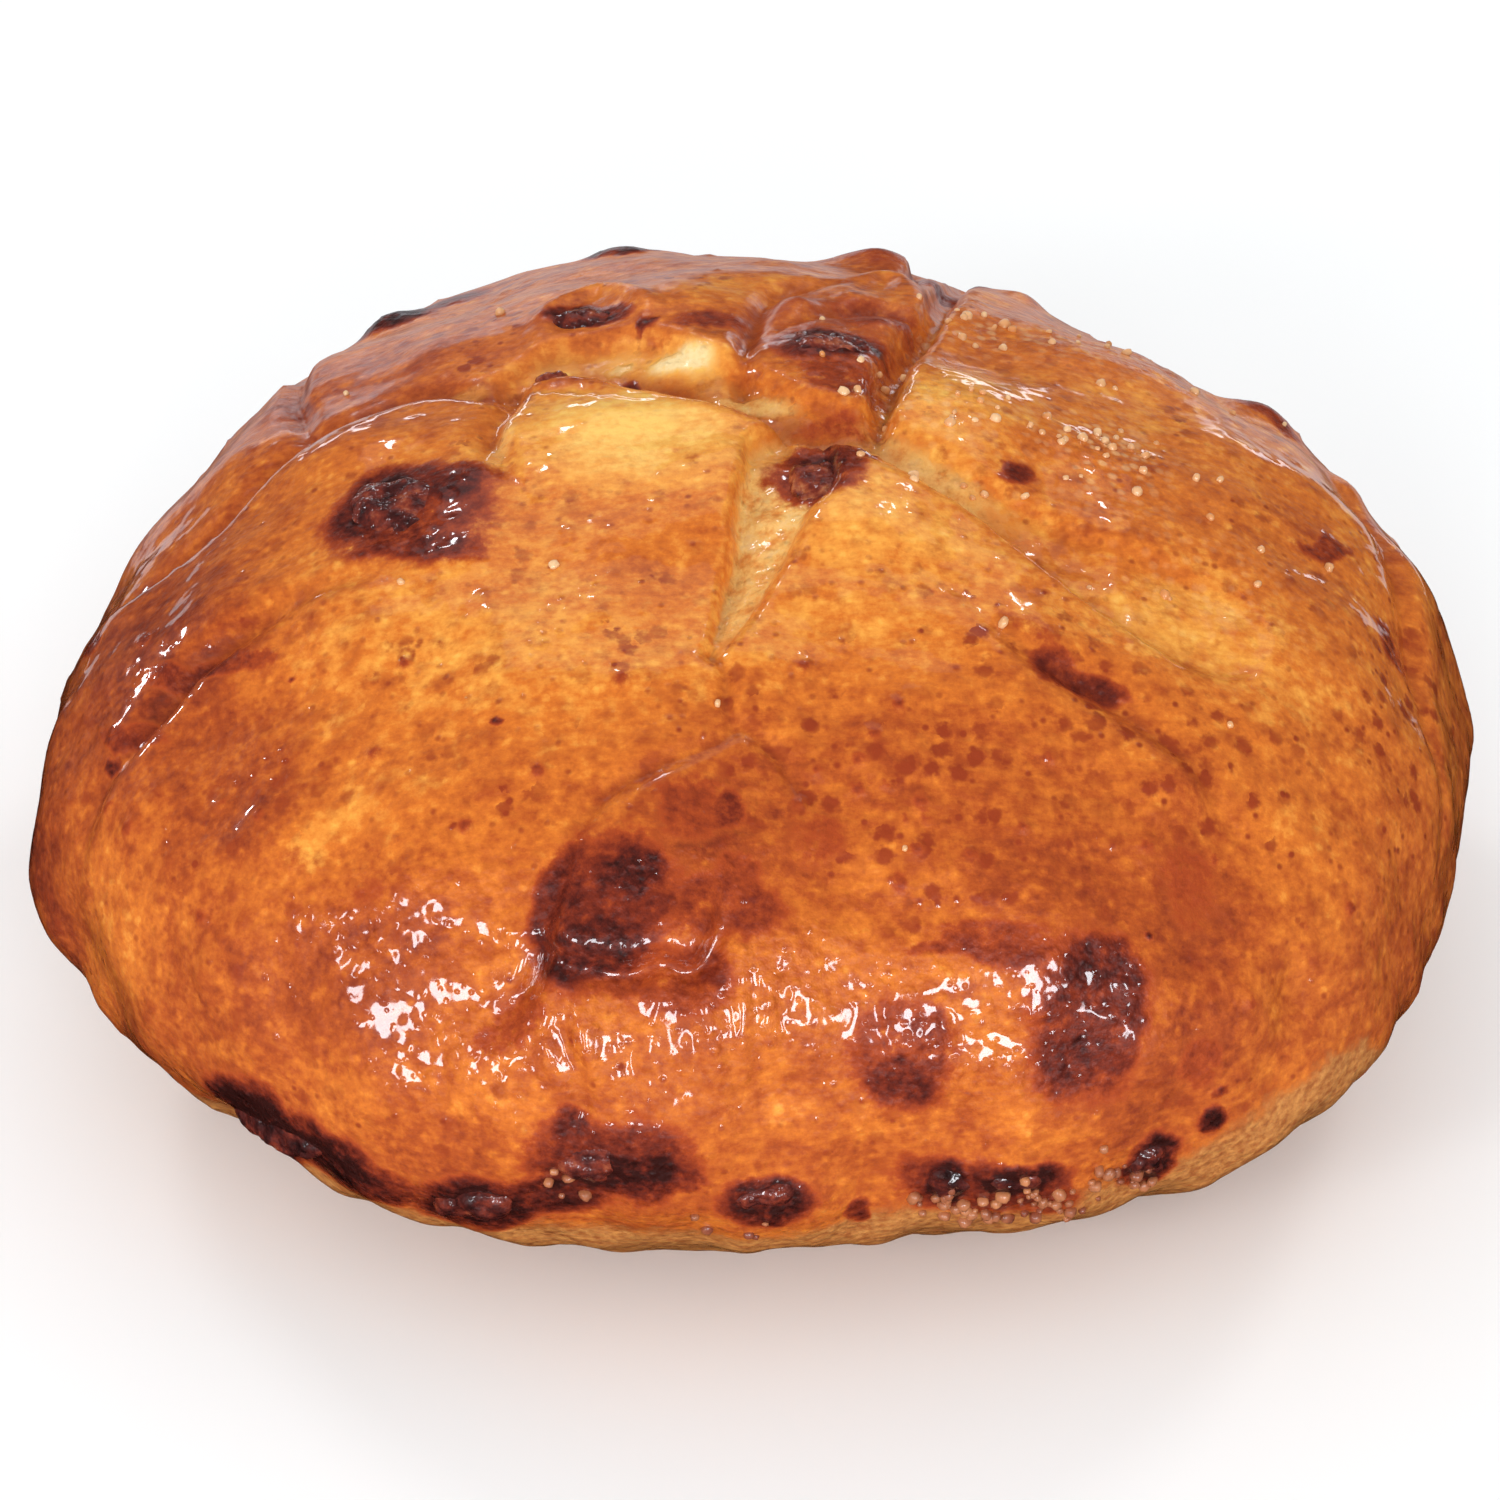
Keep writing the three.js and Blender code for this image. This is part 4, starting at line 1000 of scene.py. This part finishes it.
def crumb_colour(finish, coarse, fine):
    tone = finish.total(finish.swing(coarse, 1.4), finish.swing(fine, 0.7), finish.mask("browning_and_shade"), 0.02)
    return finish.colours(tone, CRUMB_COLOURS)


def stained(finish, colour, coarse, fine):
    """A colour with the caramel stains over it."""
    uneven = finish.total(finish.swing(coarse, 1.4), finish.swing(fine, 1.2), 1.0)
    ragged = finish.times(finish.mask("stain"), uneven)
    return finish.mix(finish.ramp(ragged, 0.12, 0.4), colour, finish.colours(ragged, STAIN_COLOURS))


def crust_bump(finish, rough, bare):
    """The small relief of the skin, pebbled where crumb is bare."""
    pebbles = finish.total(
        finish.noise(1.9, detail=3),
        finish.times(finish.noise(0.6, detail=2), 0.2),
        finish.times(finish.dots(1.3, 0.7, 0.3), finish.ramp(bare, 0.0, 1.0, 0.3, 0.42)),
    )
    return finish.bump(finish.times(pebbles, rough), CRUST_BUMP)


def glaze_bump(finish, rough):
    """The relief of the glaze: waves, and beads that are lower where the crust faces up."""
    waves = finish.times(finish.noise(3.0, detail=1), finish.ramp(rough, 0.4, 1.0, 0.6, 1.5))
    fine_beads = finish.times(finish.dots(1.0, 0.4, 0.6), finish.ramp(rough, 0.4, 1.0, 0.2, 0.6))
    beads = finish.total(finish.dots(1.7, 0.65, 0.66), fine_beads)
    beads = finish.times(beads, finish.ramp(finish.mask("upward"), 0.0, 1.0, 0.5, 0.1))
    return finish.bump(finish.total(waves, beads), GLAZE_BUMP)


def crust_finish():
    finish = Finish("crust")
    coarse = finish.noise(3.2, detail=5, roughness=0.6)
    fine = finish.noise(1.0, roughness=0.6)
    rim = finish.ramp(finish.total(finish.mask("rim"), coarse), 0.75, 1.15, 0.0, 0.85)
    frayed = finish.total(finish.mask("crumb"), finish.swing(fine, 0.9), finish.swing(coarse, 0.9))
    torn = finish.ramp(frayed, 0.25, 0.75)
    colour = finish.mix(torn, skin_colour(finish, coarse, fine, rim), crumb_colour(finish, coarse, fine))
    finish.set(Base_Color=stained(finish, colour, coarse, fine))
    finish.set(Roughness=finish.ramp(torn, 0.0, 1.0, 0.45, 0.6), Specular_IOR_Level=0.2)
    glazed = finish.ramp(torn, 0.0, 1.0, 1.0, 0.5)
    dry = finish.ramp(finish.total(rim, finish.mask("dull")), 0.0, 2.0, 1.0, 0.4)
    finish.set(Coat_Weight=finish.times(glazed, dry))
    finish.set(Coat_Roughness=finish.ramp(finish.mask("dull"), 0.0, 1.0, 0.07, 0.26))
    bare = finish.ramp(finish.mask("crumb"), 0.25, 0.75)
    rough = finish.ramp(finish.total(finish.mask("craggy"), finish.mask("sugar"), bare), 0.0, 1.0, 0.4, 1.0)
    finish.set(Normal=crust_bump(finish, rough, bare), Coat_Normal=glaze_bump(finish, rough))
    return finish.material


def fruit_finish():
    finish = Finish("fruit")
    patchy = finish.noise(2.0, detail=5, roughness=0.6)
    tone = finish.total(finish.mask("tone"), finish.swing(patchy, 1.8))
    finish.set(Base_Color=finish.colours(tone, FRUIT_COLOURS), Roughness=0.45, Specular_IOR_Level=0.3)
    finish.set(Coat_Weight=1.0, Coat_Roughness=0.08)
    beads = finish.times(finish.dots(1.3, 0.5, 0.4), 0.6)
    finish.set(Normal=finish.bump(finish.noise(1.1, detail=3), FRUIT_BUMP))
    finish.set(Coat_Normal=finish.bump(finish.total(finish.noise(1.2, detail=1), beads), FRUIT_GLAZE_BUMP))
    return finish.material


def sugar_finish():
    finish = Finish("sugar")
    colour = finish.colours(finish.noise(6, detail=2), SUGAR_COLOURS)
    finish.set(Base_Color=colour, Roughness=0.3, Coat_Weight=1.0, Coat_Roughness=0.06)
    return finish.material


def heel_crumb_finish():
    finish = Finish("crumb")
    colour = finish.colours(finish.noise(5, detail=3), HEEL_CRUMB_COLOURS)
    finish.set(Base_Color=colour, Roughness=0.5, Coat_Weight=0.8, Coat_Roughness=0.1)
    return finish.material


def floor_finish():
    finish = Finish("floor")
    finish.set(Base_Color=srgb(252, 254, 255), Roughness=0.9)
    return finish.material


# ---- Room ----
def add_camera():
    elevation = math.radians(VIEW_ELEVATION)
    target = Vector((CROWN_AXIS[0] + VIEW_TARGET[0], CROWN_AXIS[1] + VIEW_TARGET[1], VIEW_TARGET[2])) * MM
    back_off = Vector((0, -math.cos(elevation), math.sin(elevation)))
    data = bpy.data.cameras.new("camera")
    data.sensor_width = SENSOR_WIDTH
    data.lens = VIEW_LENS
    camera = bpy.data.objects.new("camera", data)
    camera.location = target + back_off * VIEW_DISTANCE * MM
    camera.rotation_euler = (math.pi / 2 - elevation, 0, 0)
    bpy.context.scene.collection.objects.link(camera)
    bpy.context.scene.camera = camera


def add_soft_box(name, azimuth, elevation, size, power):
    """A rectangular light at an azimuth from the front, anticlockwise from above, aimed at the loaf."""
    turn = math.radians(azimuth)
    rise = math.radians(elevation)
    towards = Vector((math.sin(turn) * math.cos(rise), -math.cos(turn) * math.cos(rise), math.sin(rise)))
    data = bpy.data.lights.new(name, "AREA")
    data.shape = "RECTANGLE"
    data.size, data.size_y = size
    data.energy = power
    light = bpy.data.objects.new(name, data)
    light.location = Vector(LIGHTS_AIM_AT) + towards * LIGHT_DISTANCE
    light.rotation_euler = towards.to_track_quat("Z", "Y").to_euler()
    bpy.context.scene.collection.objects.link(light)
    return light


def light_room():
    for box in SOFT_BOXES:
        light = add_soft_box(*box)
        light.visible_glossy = False
    for box in GLOSS_BOXES:
        light = add_soft_box(*box)
        light.data.color = GLOSS_COLOUR
        light.visible_diffuse = False
        light.visible_camera = False
    world = bpy.data.worlds.new("room")
    world.use_nodes = True
    world.node_tree.nodes["Background"].inputs["Color"].default_value = (1, 1, 1, 1)
    world.node_tree.nodes["Background"].inputs["Strength"].default_value = WORLD_STRENGTH
    world.cycles_visibility.glossy = False
    bpy.context.scene.world = world
    bpy.context.scene.view_settings.view_transform = "Standard"


def add_floor():
    half = FLOOR_SIZE / 2
    mesh = bpy.data.meshes.new("floor")
    corners = [(-half, -half, 0), (half, -half, 0), (half, half, 0), (-half, half, 0)]
    mesh.from_pydata(corners, [], [(0, 1, 2, 3)])
    floor = bpy.data.objects.new("floor", mesh)
    floor.data.materials.append(floor_finish())
    floor.visible_glossy = False
    bpy.context.scene.collection.objects.link(floor)


# ---- The scene ----
def dress(piece, material, slot, *nodes):
    piece.data.materials.append(material)
    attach(piece, "root")
    if nodes:
        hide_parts(*nodes)


add_camera()
light_room()
add_floor()
dress(build_loaf(), crust_finish(), "crust", "loaf")
flesh = fruit_finish()
for fruit in FRUIT:
    dress(build_fruit(*fruit), flesh, "fruit", fruit[0])
dress(build_grains("sugar_crystals", SUGAR_CLUSTERS, SUGAR_SIZES, 11), sugar_finish(), "sugar")
dress(build_grains("heel_crumbs", CRUMB_CLUSTERS, CRUMB_SIZES, 5), heel_crumb_finish(), "crust")
